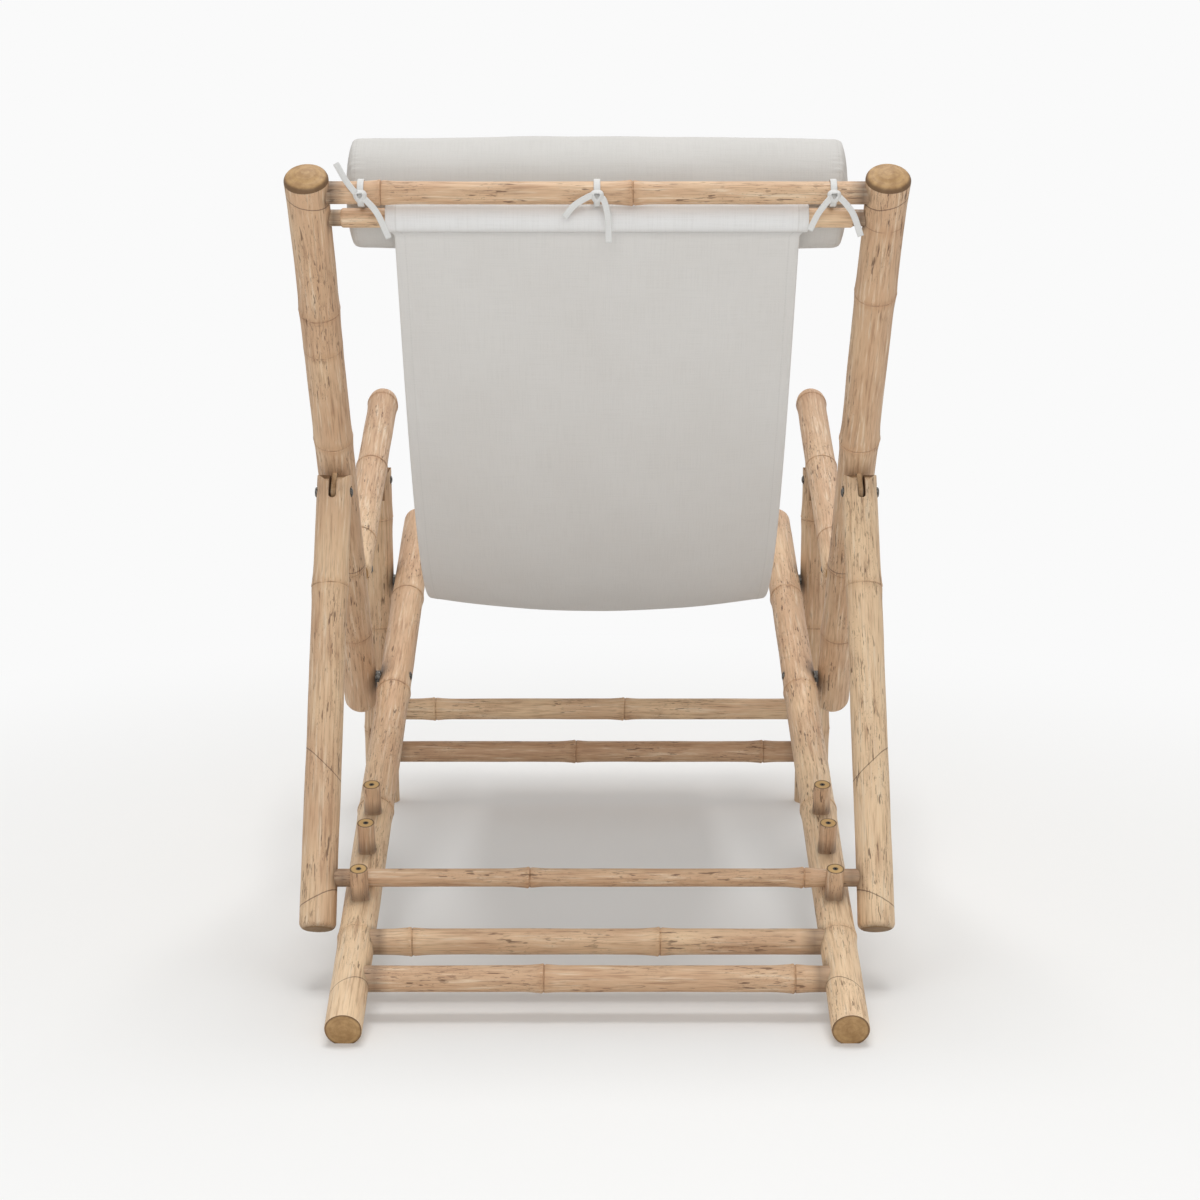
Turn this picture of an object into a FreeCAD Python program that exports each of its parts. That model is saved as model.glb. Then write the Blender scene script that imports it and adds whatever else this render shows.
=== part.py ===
# Bamboo folding recliner: two sloping rails, a back frame, a leg frame, two armrests, a propping
# strut frame and a canvas sling with a head bolster. Millimetres, +Z up, the sitter faces -Y.
# The origin is on the floor, in the middle of the chair. The sitter's left is +X.
import FreeCAD
import Part
import Sketcher
import math
import os

V = FreeCAD.Vector
document = FreeCAD.newDocument("bamboo_recliner")
sheet = document.addObject("Spreadsheet::Sheet", "Sizes")

# Driving sizes: name, value in millimetres or degrees, what it is
SIZES = [
    ("rail_spacing", 520, "between the rails' centre lines"),
    ("outer_spacing", 612, "between the centre lines of back poles, legs, struts and armrests"),
    ("foot_to_middle", 568, "from the rail's foot centre to the origin, along the floor"),
    ("foot_centre_height", 16, "height of the rail's foot centre"),
    ("rail_slope", 18, "rail above the floor"),
    ("rail_length", 1197, "rail, foot to front end"),
    ("rail_foot_radius", 19.6, "rail at its foot"),
    ("rail_front_radius", 21.6, "rail at its front end"),
    ("rail_front_round", 12, "rounding of the rail's front end"),
    ("rail_ring_1", 157, "rail's first growth ring from the foot"),
    ("rail_ring_2", 412, "rail's second growth ring"),
    ("rail_ring_3", 688, "rail's third growth ring"),
    ("rail_ring_4", 946, "rail's fourth growth ring"),
    ("ring_rise", 1.1, "height of a growth ring over the pole"),
    ("ring_swell", 22, "half length of the swelling at a ring"),
    ("back_pivot_along", 723, "back pivot from the foot, along the rail"),
    ("leg_pivot_along", 1013, "leg pivot from the foot, along the rail"),
    ("pivot_stagger", 5, "back pivot above, and leg pivot below, the rail's centre line"),
    ("crank_length", 142.7, "leg pivot to the armrest's front pin, and the same on the back pole"),
    ("leg_angle", 94.7, "front leg from the forward direction"),
    ("leg_trim", 2.5, "leg's lower end before it is trimmed flat, below the floor"),
    ("leg_foot_radius", 23.4, "front leg at the floor"),
    ("leg_top_radius", 21.4, "front leg at its forked top"),
    ("leg_first_ring", 112, "leg's first ring from the floor"),
    ("leg_ring_step", 153, "between the leg's rings"),
    ("leg_fork_half_depth", 17, "half depth of the leg's pared fork"),
    ("back_angle", 126.8, "back pole from the forward direction"),
    ("back_tail", 54, "back pole below its pivot"),
    ("back_reach", 791, "back pole above its pivot"),
    ("back_low_radius", 21.8, "back pole at its lower end"),
    ("back_top_radius", 22.8, "back pole at its top"),
    ("back_round", 8, "rounding of the back pole's domed top"),
    ("back_tail_round", 14, "rounding of the back pole's lower end"),
    ("back_first_ring", 150, "back pole's first ring from its lower end"),
    ("back_ring_step", 219, "between the back pole's rings"),
    ("head_bar_along", 770, "head bar from the back pivot, along the pole"),
    ("head_bar_radius", 12, "head bar"),
    ("sling_bar_along", 737, "sling's head bar from the back pivot, along the pole"),
    ("sling_bar_radius", 10.4, "both bars that carry the sling"),
    ("sling_tenon_radius", 8.8, "tenons of the bars that carry the sling"),
    ("sling_tenon_length", 24, "tenon, shoulder to end"),
    ("front_bar_along", 1175, "front bar from the foot, along the rail"),
    ("front_sling_bar_along", 1142, "sling's front bar from the foot, along the rail"),
    ("rear_bar_radius", 14, "rear bars between the rails"),
    ("rear_bar_low_along", 87, "lower rear bar from the foot, along the rail"),
    ("rear_bar_high_along", 153, "upper rear bar from the foot, along the rail"),
    ("leg_bar_radius", 14.8, "bars between the legs"),
    ("leg_bar_high_height", 136, "upper leg bar's centre above the floor"),
    ("leg_bar_low_height", 73, "lower leg bar's centre above the floor"),
    ("bar_inset", 9, "bar's end short of its pole's centre line"),
    ("bar_ring_rise", 0.7, "height of a growth ring over a bar"),
    ("bar_ring_step", 266, "between a bar's two rings"),
    ("head_bar_ring", 230, "head bar's left ring from the middle"),
    ("rear_high_ring", 201, "upper rear bar's left ring from the middle"),
    ("rear_low_ring", 58, "lower rear bar's left ring from the middle"),
    ("leg_high_ring", 230, "upper leg bar's left ring from the middle"),
    ("leg_low_ring", 32, "lower leg bar's left ring from the middle"),
    ("strut_bar_ring", 76, "strut bar's left ring from the middle"),
    ("front_bar_ring", 150, "front bar's left ring from the middle"),
    ("strut_radius", 20.2, "strut, and the round of its forked end"),
    ("strut_tail", 58, "strut below its bar"),
    ("strut_ring_low", 150, "strut's lower ring from its lower end"),
    ("strut_ring_step", 248, "between the strut's rings"),
    ("strut_pin_along", 372, "strut pin from the back pivot, along the back pole"),
    ("strut_pin_offset", 43.5, "strut pin behind the back pole's centre line"),
    ("strut_bar_radius", 10, "strut bar"),
    ("peg_radius", 9.9, "recline peg"),
    ("peg_height", 56, "peg's top above the rail's centre line"),
    ("peg_root", 5, "peg's lower end above the rail's centre line"),
    ("peg_pith_radius", 1.4, "pith hole in the peg's top"),
    ("peg_pith_depth", 6, "depth of the pith hole"),
    ("peg_along_1", 210, "rearmost peg from the foot, along the rail"),
    ("peg_along_2", 301, "middle peg from the foot, along the rail"),
    ("peg_along_3", 381.5, "foremost peg from the foot, along the rail"),
    ("arm_radius", 20.3, "armrest"),
    ("arm_front_round", 12, "rounding of the armrest's front end"),
    ("arm_rear_round", 7, "rounding of the armrest's rear end"),
    ("arm_rear_pin_drop", 8, "rear pin below the armrest's centre line"),
    ("arm_front_pin_drop", 38, "front pin below the armrest's centre line"),
    ("arm_rear_reach", 25, "armrest behind its rear pin"),
    ("arm_front_reach", 173, "armrest in front of its front pin"),
    ("arm_first_ring", 84, "armrest's first ring from its rear end"),
    ("arm_ring_step", 193, "between the armrest's rings"),
    ("tongue_thickness", 6.5, "wooden tongue in a fork"),
    ("tongue_half_width", 10, "half width and end radius of a tongue"),
    ("tongue_root", 4, "tongue's inner end short of its pole's centre line"),
    ("fork_gap", 9, "slot between a fork's cheeks"),
    ("fork_depth", 14, "slot beyond the pin, to its rounded bottom"),
    ("fork_cheek_length", 26, "length of the pared fork below the pin"),
    ("bolt_radius", 3.5, "bolt shank"),
    ("bolt_head_radius", 6.2, "bolt head and cap nut"),
    ("bolt_head_thickness", 3.3, "bolt head and cap nut"),
    ("bolt_seat", 1.7, "seat of a bolt's head or nut below the pole's skin"),
    ("bolt_seat_radius", 7.6, "seat of a bolt's head or nut"),
    ("spacer_radius", 7.5, "spacer washer between rail and back pole or leg"),
    ("spacer_seat", 1.6, "seat of the spacer below the pole's skin"),
    ("pin_clearance", 0.05, "radial clearance of shafts and tenons in their holes"),
    ("running_gap", 0.3, "gap between pieces that slide or turn past each other"),
    ("cloth_thickness", 3, "canvas with its hem"),
    ("sling_width", 434, "canvas between its side hems"),
    ("pocket_width", 450, "sewn pocket round a sling bar"),
    ("pocket_radius", 15, "outside of the sewn pocket"),
    ("sling_depth", 247, "how far the hem line hangs below the line between its bars"),
    ("sling_lean", 0.86, "below 1 when the hang is nearer the head bar"),
    ("sling_fullness", 1.2, "above 1 when the canvas is taut near its bars"),
    ("sling_sag", 18, "how far the canvas hangs below its side hems across the seat"),
    ("bolster_radius", 59, "head bolster"),
    ("bolster_length", 536, "head bolster"),
    ("bolster_rim", 18, "rounding of the bolster's ends"),
    ("bolster_crown", 3, "how much thicker the bolster is in its middle than at its ends"),
    ("bolster_lean", 17.5, "bolster's centre above the sling's head bar, seen from the side"),
    ("tie_width", 7, "cotton tape"),
    ("tie_thickness", 1.4, "cotton tape with its seam"),
    ("tie_spacing", 249, "between ties"),
    ("knot_radius", 8.5, "overhand knot of the flat tape, folded to five sides"),
    ("knot_thickness", 7, "overhand knot"),
]
for row, (alias, value, meaning) in enumerate(SIZES, start=1):
    sheet.set("A%d" % row, alias)
    sheet.set("B%d" % row, str(value))
    sheet.set("C%d" % row, meaning)
    sheet.setAlias("B%d" % row, alias)
document.recompute()


def size(alias):
    return float(sheet.get(alias))


def value_of(expression):
    return float(sheet.evalExpression(expression))


def direction(angle):
    """The direction of a pole in the side plane: the angle is measured up from forward."""
    turn = math.radians(angle)
    return V(0, -math.cos(turn), math.sin(turn))


def upper_side(angle):
    """The direction square to a pole in the side plane, on its upper or rear side."""
    turn = math.radians(angle)
    return V(0, math.sin(turn), math.cos(turn))


def pole_place(start, angle, x=0.0):
    """Places a pole that is built along local +Z from the origin, with its upper side at +Y."""
    return FreeCAD.Placement(V(x, start.y, start.z), FreeCAD.Rotation(V(1, 0, 0), 90.0 - angle))


def inside(placement, world_placement):
    """A world placement, seen in a pole's own frame."""
    return placement.inverse().multiply(world_placement)


# Main points of the side view
RAIL_SLOPE = size("rail_slope")
RAIL_ORIGIN = V(0, size("foot_to_middle"), size("foot_centre_height"))
RAIL_ALONG = direction(RAIL_SLOPE)
RAIL_UP = upper_side(RAIL_SLOPE)
BACK_ANGLE = size("back_angle")
BACK_ALONG = direction(BACK_ANGLE)
BACK_BEHIND = upper_side(BACK_ANGLE)
LEG_ANGLE = size("leg_angle")
LEG_ALONG = direction(LEG_ANGLE)


def rail_point(along, above=0.0):
    return RAIL_ORIGIN + RAIL_ALONG * along + RAIL_UP * above


BACK_PIVOT = rail_point(size("back_pivot_along"), size("pivot_stagger"))
LEG_PIVOT = rail_point(size("leg_pivot_along"), -size("pivot_stagger"))
CRANK = LEG_ALONG * size("crank_length")
ARM_REAR_PIN = BACK_PIVOT + CRANK
ARM_FRONT_PIN = LEG_PIVOT + CRANK
STRUT_PIN = BACK_PIVOT + BACK_ALONG * size("strut_pin_along") + BACK_BEHIND * size("strut_pin_offset")
HEAD_BAR = BACK_PIVOT + BACK_ALONG * size("head_bar_along")
SLING_HEAD_BAR = BACK_PIVOT + BACK_ALONG * size("sling_bar_along")
SLING_FRONT_BAR = rail_point(size("front_sling_bar_along"))

# Poles whose place follows from the points
PIN_SPAN = (ARM_FRONT_PIN - ARM_REAR_PIN).Length
PIN_DROP = size("arm_front_pin_drop") - size("arm_rear_pin_drop")
PIN_SLOPE = math.degrees(math.atan2(ARM_FRONT_PIN.z - ARM_REAR_PIN.z, ARM_REAR_PIN.y - ARM_FRONT_PIN.y))
ARM_ANGLE = PIN_SLOPE + math.degrees(math.asin(PIN_DROP / PIN_SPAN))
ARM_PIN_STEP = math.sqrt(PIN_SPAN ** 2 - PIN_DROP ** 2)
ARM_LENGTH = size("arm_rear_reach") + ARM_PIN_STEP + size("arm_front_reach")
ARM_START = (ARM_REAR_PIN + upper_side(ARM_ANGLE) * size("arm_rear_pin_drop")
             - direction(ARM_ANGLE) * size("arm_rear_reach"))

LEG_REACH = LEG_PIVOT.z / LEG_ALONG.z + size("leg_trim")
LEG_START = LEG_PIVOT - LEG_ALONG * LEG_REACH
LEG_PIN_ALONG = LEG_REACH + size("crank_length")

BACK_START = BACK_PIVOT - BACK_ALONG * size("back_tail")
BACK_LENGTH = size("back_tail") + size("back_reach")

RAIL_RADIUS_AT_STRUT = value_of("rail_foot_radius + (rail_front_radius - rail_foot_radius)"
                                " * (peg_along_1 + peg_radius + strut_bar_radius) / rail_length")
STRUT_BAR = rail_point(size("peg_along_1") + size("peg_radius") + size("strut_bar_radius")
                       + size("running_gap"),
                       RAIL_RADIUS_AT_STRUT + size("strut_bar_radius") + size("running_gap"))
STRUT_SPAN = (STRUT_PIN - STRUT_BAR).Length
STRUT_ANGLE = math.degrees(math.atan2(STRUT_PIN.z - STRUT_BAR.z, STRUT_BAR.y - STRUT_PIN.y))
STRUT_START = STRUT_BAR - direction(STRUT_ANGLE) * size("strut_tail")
STRUT_PIN_ALONG = STRUT_SPAN + size("strut_tail")

RAIL_X = size("rail_spacing") / 2
OUTER_X = size("outer_spacing") / 2
SIDES = (("left", 1), ("right", -1))
nodes = []


def keep(feature, label):
    """Names a finished piece and lists it for writing."""
    feature.Label = label
    nodes.append(feature)
    return feature


def turned(name, length, low, high, rings=(), rise="Sizes.ring_rise", low_round=None, high_round=None):
    """A turned cane along +Z from the origin, with a swelling at each growth ring."""
    body = document.addObject("PartDesign::Body", name + "_cane")
    plane = [f for f in body.Origin.OriginFeatures if f.Role == "XZ_Plane"][0]
    sketch = body.newObject("Sketcher::SketchObject", name + "_profile")
    sketch.AttachmentSupport = (plane, [""])
    sketch.MapMode = "FlatFace"
    taper = "(%s) + ((%s) - (%s)) * (%s) / (%s)"
    swell = "Sizes.ring_swell"
    corners = [("0", "0"), (low, "0")]
    for ring in rings:
        below = "(%s) - %s" % (ring, swell)
        above = "(%s) + %s" % (ring, swell)
        corners.append((taper % (low, high, low, below, length), below))
        corners.append(((taper + " + %s") % (low, high, low, ring, length, rise), ring))
        corners.append((taper % (low, high, low, above, length), above))
    corners += [(high, length), ("0", length)]
    points = [V(float(body.evalExpression(r)), float(body.evalExpression(h)), 0) for r, h in corners]
    count = len(points)
    for i in range(count):
        sketch.addGeometry(Part.LineSegment(points[i], points[(i + 1) % count]), False)
    for i in range(count):
        sketch.addConstraint(Sketcher.Constraint("Coincident", i, 2, (i + 1) % count, 1))
    sketch.addConstraint(Sketcher.Constraint("Coincident", 0, 1, -1, 1))
    sketch.addConstraint(Sketcher.Constraint("PointOnObject", 1, 1, -1))
    sketch.addConstraint(Sketcher.Constraint("PointOnObject", count - 1, 1, -2))
    for i in range(1, count - 1):
        number = sketch.addConstraint(Sketcher.Constraint("DistanceX", -1, 1, i, 1, points[i].x))
        sketch.setExpression("Constraints[%d]" % number, corners[i][0])
    for i in range(2, count):
        number = sketch.addConstraint(Sketcher.Constraint("DistanceY", -1, 1, i, 1, points[i].y))
        sketch.setExpression("Constraints[%d]" % number, corners[i][1])
    cane = body.newObject("PartDesign::Revolution", name + "_turning")
    cane.Profile = sketch
    cane.ReferenceAxis = (sketch, ["V_Axis"])
    cane.Angle = 360
    document.recompute()
    for end, amount, height in (("low", low_round, 0.0), ("high", high_round, points[-1].y)):
        if amount is None:
            continue
        solid = body.Tip
        edges = ["Edge%d" % (i + 1) for i, edge in enumerate(solid.Shape.Edges)
                 if edge.Curve.TypeId == "Part::GeomCircle" and abs(edge.Curve.Center.z - height) < 1e-4]
        rounding = body.newObject("PartDesign::Fillet", name + "_" + end + "_round")
        rounding.Base = (solid, edges)
        rounding.setExpression("Radius", amount)
        document.recompute()
    sketch.Visibility = False
    return body


def cylinder(name, radius, length, at, rotation=FreeCAD.Rotation()):
    shape = document.addObject("Part::Cylinder", name)
    shape.setExpression("Radius", radius)
    shape.setExpression("Height", length)
    shape.Placement = FreeCAD.Placement(at, rotation)
    return shape


def box(name, width, depth, height, at, rotation=FreeCAD.Rotation()):
    """A box whose placement is that of its centre in X and Y, and of its bottom in Z."""
    shape = document.addObject("Part::Box", name)
    shape.setExpression("Length", width)
    shape.setExpression("Width", depth)
    shape.setExpression("Height", height)
    corner = V(-float(shape.evalExpression(width)) / 2, -float(shape.evalExpression(depth)) / 2, 0)
    shape.Placement = FreeCAD.Placement(at, rotation).multiply(
        FreeCAD.Placement(corner, FreeCAD.Rotation()))
    return shape


def fused(name, shapes):
    if len(shapes) == 1:
        return shapes[0]
    fusion = document.addObject("Part::MultiFuse", name)
    fusion.Shapes = shapes
    return fusion


def cut(name, base, tools, placement=FreeCAD.Placement()):
    piece = document.addObject("Part::Cut", name)
    piece.Base = base
    piece.Tool = fused(name + "_cuts", tools)
    piece.Placement = placement
    return piece


ACROSS = FreeCAD.Rotation(V(0, 1, 0), 90)
BACKWARD = FreeCAD.Rotation(V(1, 0, 0), -90)
FORWARD = FreeCAD.Rotation(V(1, 0, 0), 90)
THROUGH = 70.0
HALF_THROUGH = THROUGH / 2
HOLE = "Sizes.bolt_radius + Sizes.pin_clearance"


def bolt_hole(name, y, z):
    """A through hole for a bolt shank, along X."""
    return cylinder(name, HOLE, str(THROUGH), V(-HALF_THROUGH, y, z), ACROSS)


def seat(name, side, depth, y, z, radius="Sizes.bolt_seat_radius"):
    """A flat seat cut into a pole's skin: its floor is at the given distance from the centre line."""
    start = depth if side > 0 else -depth - HALF_THROUGH
    return cylinder(name, radius, str(HALF_THROUGH), V(start, y, z), ACROSS)


def socket(name, side, radius, y, z):
    """A blind hole for a bar, open on the inner side of a pole on the given side of the chair."""
    end = size("bar_inset") - size("pin_clearance")
    start = -side * end - (HALF_THROUGH if side > 0 else 0)
    return cylinder(name, radius + " + Sizes.pin_clearance", str(HALF_THROUGH), V(start, y, z), ACROSS)


def seat_distance(radius, offset=0.0):
    """Distance of a bolt's seat from the pole's centre line."""
    return math.sqrt(radius ** 2 - offset ** 2) - size("bolt_seat")


def slot(name, pin, end, upward=True):
    """A fork's slot across a pole, from its rounded bottom beyond the pin to past the pole's end."""
    sign = 1 if upward else -1
    bottom = pin - sign * (size("fork_depth") - size("fork_gap") / 2)
    length = abs(end - bottom) + 5
    low = bottom if upward else bottom - length
    opening = box(name + "_gap", "Sizes.fork_gap", str(THROUGH), str(length), V(0, 0, low))
    floor = cylinder(name + "_floor", "Sizes.fork_gap / 2", str(THROUGH), V(0, -HALF_THROUGH, bottom),
                     BACKWARD)
    return [opening, floor]


def taper_radius(low, high, along, length):
    return low + (high - low) * along / length


# Pivot washers fill the gap between a rail and the outer pole that turns beside it
def pivot_gap_seats(rail_radius, pole_radius):
    """Seat distances on the rail's outer side and on the pole's inner side, and the washer between."""
    rail_seat = rail_radius - size("spacer_seat")
    pole_seat = pole_radius - size("spacer_seat")
    washer = OUTER_X - RAIL_X - rail_seat - pole_seat - size("running_gap")
    return rail_seat, pole_seat, washer


RAIL_AT_BACK_PIVOT = taper_radius(size("rail_foot_radius"), size("rail_front_radius"),
                                  size("back_pivot_along"), size("rail_length"))
RAIL_AT_LEG_PIVOT = taper_radius(size("rail_foot_radius"), size("rail_front_radius"),
                                 size("leg_pivot_along"), size("rail_length"))
BACK_AT_PIVOT = taper_radius(size("back_low_radius"), size("back_top_radius"),
                             size("back_tail"), BACK_LENGTH)
LEG_LENGTH = LEG_PIN_ALONG + size("leg_fork_half_depth")
LEG_AT_PIVOT = taper_radius(size("leg_foot_radius"), size("leg_top_radius"), LEG_REACH, LEG_LENGTH)
LEG_AT_PIN = taper_radius(size("leg_foot_radius"), size("leg_top_radius"), LEG_PIN_ALONG, LEG_LENGTH)
BACK_RAIL_SEAT, BACK_POLE_SEAT, BACK_WASHER = pivot_gap_seats(RAIL_AT_BACK_PIVOT, BACK_AT_PIVOT)
LEG_RAIL_SEAT, LEG_POLE_SEAT, LEG_WASHER = pivot_gap_seats(RAIL_AT_LEG_PIVOT, LEG_AT_PIVOT)
RAIL_BACK_NUT_SEAT = seat_distance(RAIL_AT_BACK_PIVOT, size("pivot_stagger"))
RAIL_LEG_NUT_SEAT = seat_distance(RAIL_AT_LEG_PIVOT, size("pivot_stagger"))
BACK_BOLT_SEAT = seat_distance(BACK_AT_PIVOT)
LEG_BOLT_SEAT = seat_distance(LEG_AT_PIVOT)
LEG_FORK_SEAT = seat_distance(LEG_AT_PIN)
STRUT_SEAT = seat_distance(size("strut_radius"))
ARM_SEAT = seat_distance(size("arm_radius"), size("arm_rear_pin_drop"))

# Rails: rear foot on the floor, front end rounded, three peg sockets on the upper side
PEGS = ("peg_along_1", "peg_along_2", "peg_along_3")
TRIM_DEPTH = 40
TRIM_BLOCK = ("90", "160", str(TRIM_DEPTH))
for word, side in SIDES:
    name = "rail_" + word
    cane = turned(name, "Sizes.rail_length", "Sizes.rail_foot_radius", "Sizes.rail_front_radius",
                  ["Sizes.rail_ring_1", "Sizes.rail_ring_2", "Sizes.rail_ring_3", "Sizes.rail_ring_4"],
                  high_round="Sizes.rail_front_round")
    place = pole_place(RAIL_ORIGIN, RAIL_SLOPE, side * RAIL_X)
    floor = FreeCAD.Placement(V(side * RAIL_X, RAIL_ORIGIN.y, -TRIM_DEPTH), FreeCAD.Rotation())
    ground = inside(place, floor)
    cuts = [box(name + "_floor_trim", *TRIM_BLOCK, ground.Base, ground.Rotation)]
    for bar, radius, along in (("low", "Sizes.rear_bar_radius", "rear_bar_low_along"),
                               ("high", "Sizes.rear_bar_radius", "rear_bar_high_along"),
                               ("front", "Sizes.head_bar_radius", "front_bar_along"),
                               ("sling", "Sizes.sling_tenon_radius", "front_sling_bar_along")):
        cuts.append(socket(name + "_socket_" + bar, side, radius, 0, size(along)))
    for number, along in enumerate(PEGS, start=1):
        cuts.append(cylinder(name + "_peg_hole_%d" % number, "Sizes.peg_radius + Sizes.pin_clearance",
                             "Sizes.peg_height", V(0, size("peg_root") - size("pin_clearance"), size(along)),
                             BACKWARD))
    for pivot, along, above, outer_seat, nut_seat in (
            ("back", "back_pivot_along", size("pivot_stagger"), BACK_RAIL_SEAT, RAIL_BACK_NUT_SEAT),
            ("leg", "leg_pivot_along", -size("pivot_stagger"), LEG_RAIL_SEAT, RAIL_LEG_NUT_SEAT)):
        cuts.append(bolt_hole(name + "_" + pivot + "_hole", above, size(along)))
        cuts.append(seat(name + "_" + pivot + "_washer_seat", side, outer_seat, above, size(along),
                         "Sizes.spacer_radius + Sizes.running_gap"))
        cuts.append(seat(name + "_" + pivot + "_nut_seat", -side, nut_seat, above, size(along)))
    keep(cut(name, cane, cuts, place), name)

# Recline pegs, square to the rail, each with its pith hole
for word, side in SIDES:
    for number, along in enumerate(PEGS, start=1):
        name = "peg_%s_%d" % (word, number)
        start = rail_point(size(along), size("peg_root"))
        turn = FreeCAD.Rotation(V(1, 0, 0), -RAIL_SLOPE)
        pin = cylinder(name + "_pin", "Sizes.peg_radius", "Sizes.peg_height - Sizes.peg_root", V(0, 0, 0))
        pith = cylinder(name + "_pith", "Sizes.peg_pith_radius", "Sizes.peg_pith_depth",
                        V(0, 0, size("peg_height") - size("peg_root") - size("peg_pith_depth")))
        keep(cut(name, pin, [pith], FreeCAD.Placement(V(side * RAIL_X, start.y, start.z), turn)), name)


# Bars across the chair
def bar(name, radius, spacing, ring, centre):
    """A round bar along X between two poles, with two growth rings."""
    length = "%s - 2 * Sizes.bar_inset" % spacing
    first = "(%s) / 2 + %s - Sizes.bar_ring_step" % (length, ring)
    second = "(%s) / 2 + %s" % (length, ring)
    cane = turned(name, length, radius, radius, [first, second], "Sizes.bar_ring_rise")
    half = float(cane.evalExpression(length)) / 2
    cane.Placement = FreeCAD.Placement(V(-half, centre.y, centre.z), ACROSS)
    return cane


keep(bar("rear_rail_bar_low", "Sizes.rear_bar_radius", "Sizes.rail_spacing", "Sizes.rear_low_ring",
         rail_point(size("rear_bar_low_along"))), "rear_rail_bar_low")
keep(bar("rear_rail_bar_high", "Sizes.rear_bar_radius", "Sizes.rail_spacing", "Sizes.rear_high_ring",
         rail_point(size("rear_bar_high_along"))), "rear_rail_bar_high")
keep(bar("front_rail_bar", "Sizes.head_bar_radius", "Sizes.rail_spacing", "Sizes.front_bar_ring",
         rail_point(size("front_bar_along"))), "front_rail_bar")
keep(bar("head_bar", "Sizes.head_bar_radius", "Sizes.outer_spacing", "Sizes.head_bar_ring", HEAD_BAR),
     "head_bar")
keep(bar("strut_bar", "Sizes.strut_bar_radius", "Sizes.outer_spacing", "Sizes.strut_bar_ring", STRUT_BAR),
     "strut_bar")
LEG_BAR_HIGH = LEG_START + LEG_ALONG * ((size("leg_bar_high_height") - LEG_START.z) / LEG_ALONG.z)
LEG_BAR_LOW = LEG_START + LEG_ALONG * ((size("leg_bar_low_height") - LEG_START.z) / LEG_ALONG.z)
keep(bar("leg_bar_high", "Sizes.leg_bar_radius", "Sizes.outer_spacing", "Sizes.leg_high_ring",
         LEG_BAR_HIGH), "leg_bar_high")
keep(bar("leg_bar_low", "Sizes.leg_bar_radius", "Sizes.outer_spacing", "Sizes.leg_low_ring",
         LEG_BAR_LOW), "leg_bar_low")

# Bars that carry the sling, with a thinner tenon at each end
for name, spacing, centre in (("sling_head_bar", "Sizes.outer_spacing", SLING_HEAD_BAR),
                              ("sling_front_bar", "Sizes.rail_spacing", SLING_FRONT_BAR)):
    length = "%s - 2 * Sizes.bar_inset" % spacing
    half = float(sheet.evalExpression(length)) / 2
    tenon = cylinder(name + "_tenons", "Sizes.sling_tenon_radius", length, V(-half, 0, 0), ACROSS)
    shoulder = half - size("sling_tenon_length")
    rod = cylinder(name + "_rod", "Sizes.sling_bar_radius", length + " - 2 * Sizes.sling_tenon_length",
                   V(-shoulder, 0, 0), ACROSS)
    whole = fused(name, [tenon, rod])
    whole.Placement = FreeCAD.Placement(centre, FreeCAD.Rotation())
    keep(whole, name)

# Back poles: domed cap, rounded lower end, sockets for the two head bars, mortises for two tongues
for word, side in SIDES:
    name = "back_pole_" + word
    rings = ["Sizes.back_first_ring + %d * Sizes.back_ring_step" % k for k in range(3)]
    length = "Sizes.back_tail + Sizes.back_reach"
    cane = turned(name, length, "Sizes.back_low_radius", "Sizes.back_top_radius", rings,
                  low_round="Sizes.back_tail_round", high_round="Sizes.back_round")
    tail = size("back_tail")
    cuts = [bolt_hole(name + "_pivot_hole", 0, tail),
            seat(name + "_washer_seat", -side, BACK_POLE_SEAT, 0, tail,
                 "Sizes.spacer_radius + Sizes.running_gap"),
            seat(name + "_bolt_seat", side, BACK_BOLT_SEAT, 0, tail),
            socket(name + "_socket_head", side, "Sizes.head_bar_radius", 0, tail + size("head_bar_along")),
            socket(name + "_socket_sling", side, "Sizes.sling_tenon_radius", 0,
                   tail + size("sling_bar_along"))]
    strut_mortise = size("tongue_root") - size("pin_clearance")
    cuts.append(box(name + "_strut_mortise", "Sizes.tongue_thickness + 2 * Sizes.pin_clearance", "30",
                    "2 * Sizes.tongue_half_width + 2 * Sizes.pin_clearance",
                    V(0, strut_mortise + 15, tail + size("strut_pin_along") - size("tongue_half_width")
                      - size("pin_clearance"))))
    arm_pin = ARM_REAR_PIN - BACK_PIVOT
    arm_along = arm_pin.dot(BACK_ALONG)
    cuts.append(box(name + "_arm_mortise", "Sizes.tongue_thickness + 2 * Sizes.pin_clearance", "30",
                    "2 * Sizes.tongue_half_width + 2 * Sizes.pin_clearance",
                    V(0, -strut_mortise - 15, tail + arm_along - size("tongue_half_width")
                      - size("pin_clearance"))))
    keep(cut(name, cane, cuts, pole_place(BACK_START, BACK_ANGLE, side * OUTER_X)), name)


def tongue(name, length, place):
    """A flat tongue along local +Y from its root, with a round end about its pin hole."""
    plank = box(name + "_plank", "Sizes.tongue_thickness", str(length - size("tongue_root")),
                "2 * Sizes.tongue_half_width",
                V(0, (length + size("tongue_root")) / 2, -size("tongue_half_width")))
    half = size("tongue_thickness") / 2
    tip = cylinder(name + "_tip", "Sizes.tongue_half_width", "Sizes.tongue_thickness",
                   V(-half, length, 0), ACROSS)
    piece = cut(name, fused(name + "_body", [plank, tip]), [bolt_hole(name + "_hole", length, 0)], place)
    return keep(piece, name)


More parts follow.
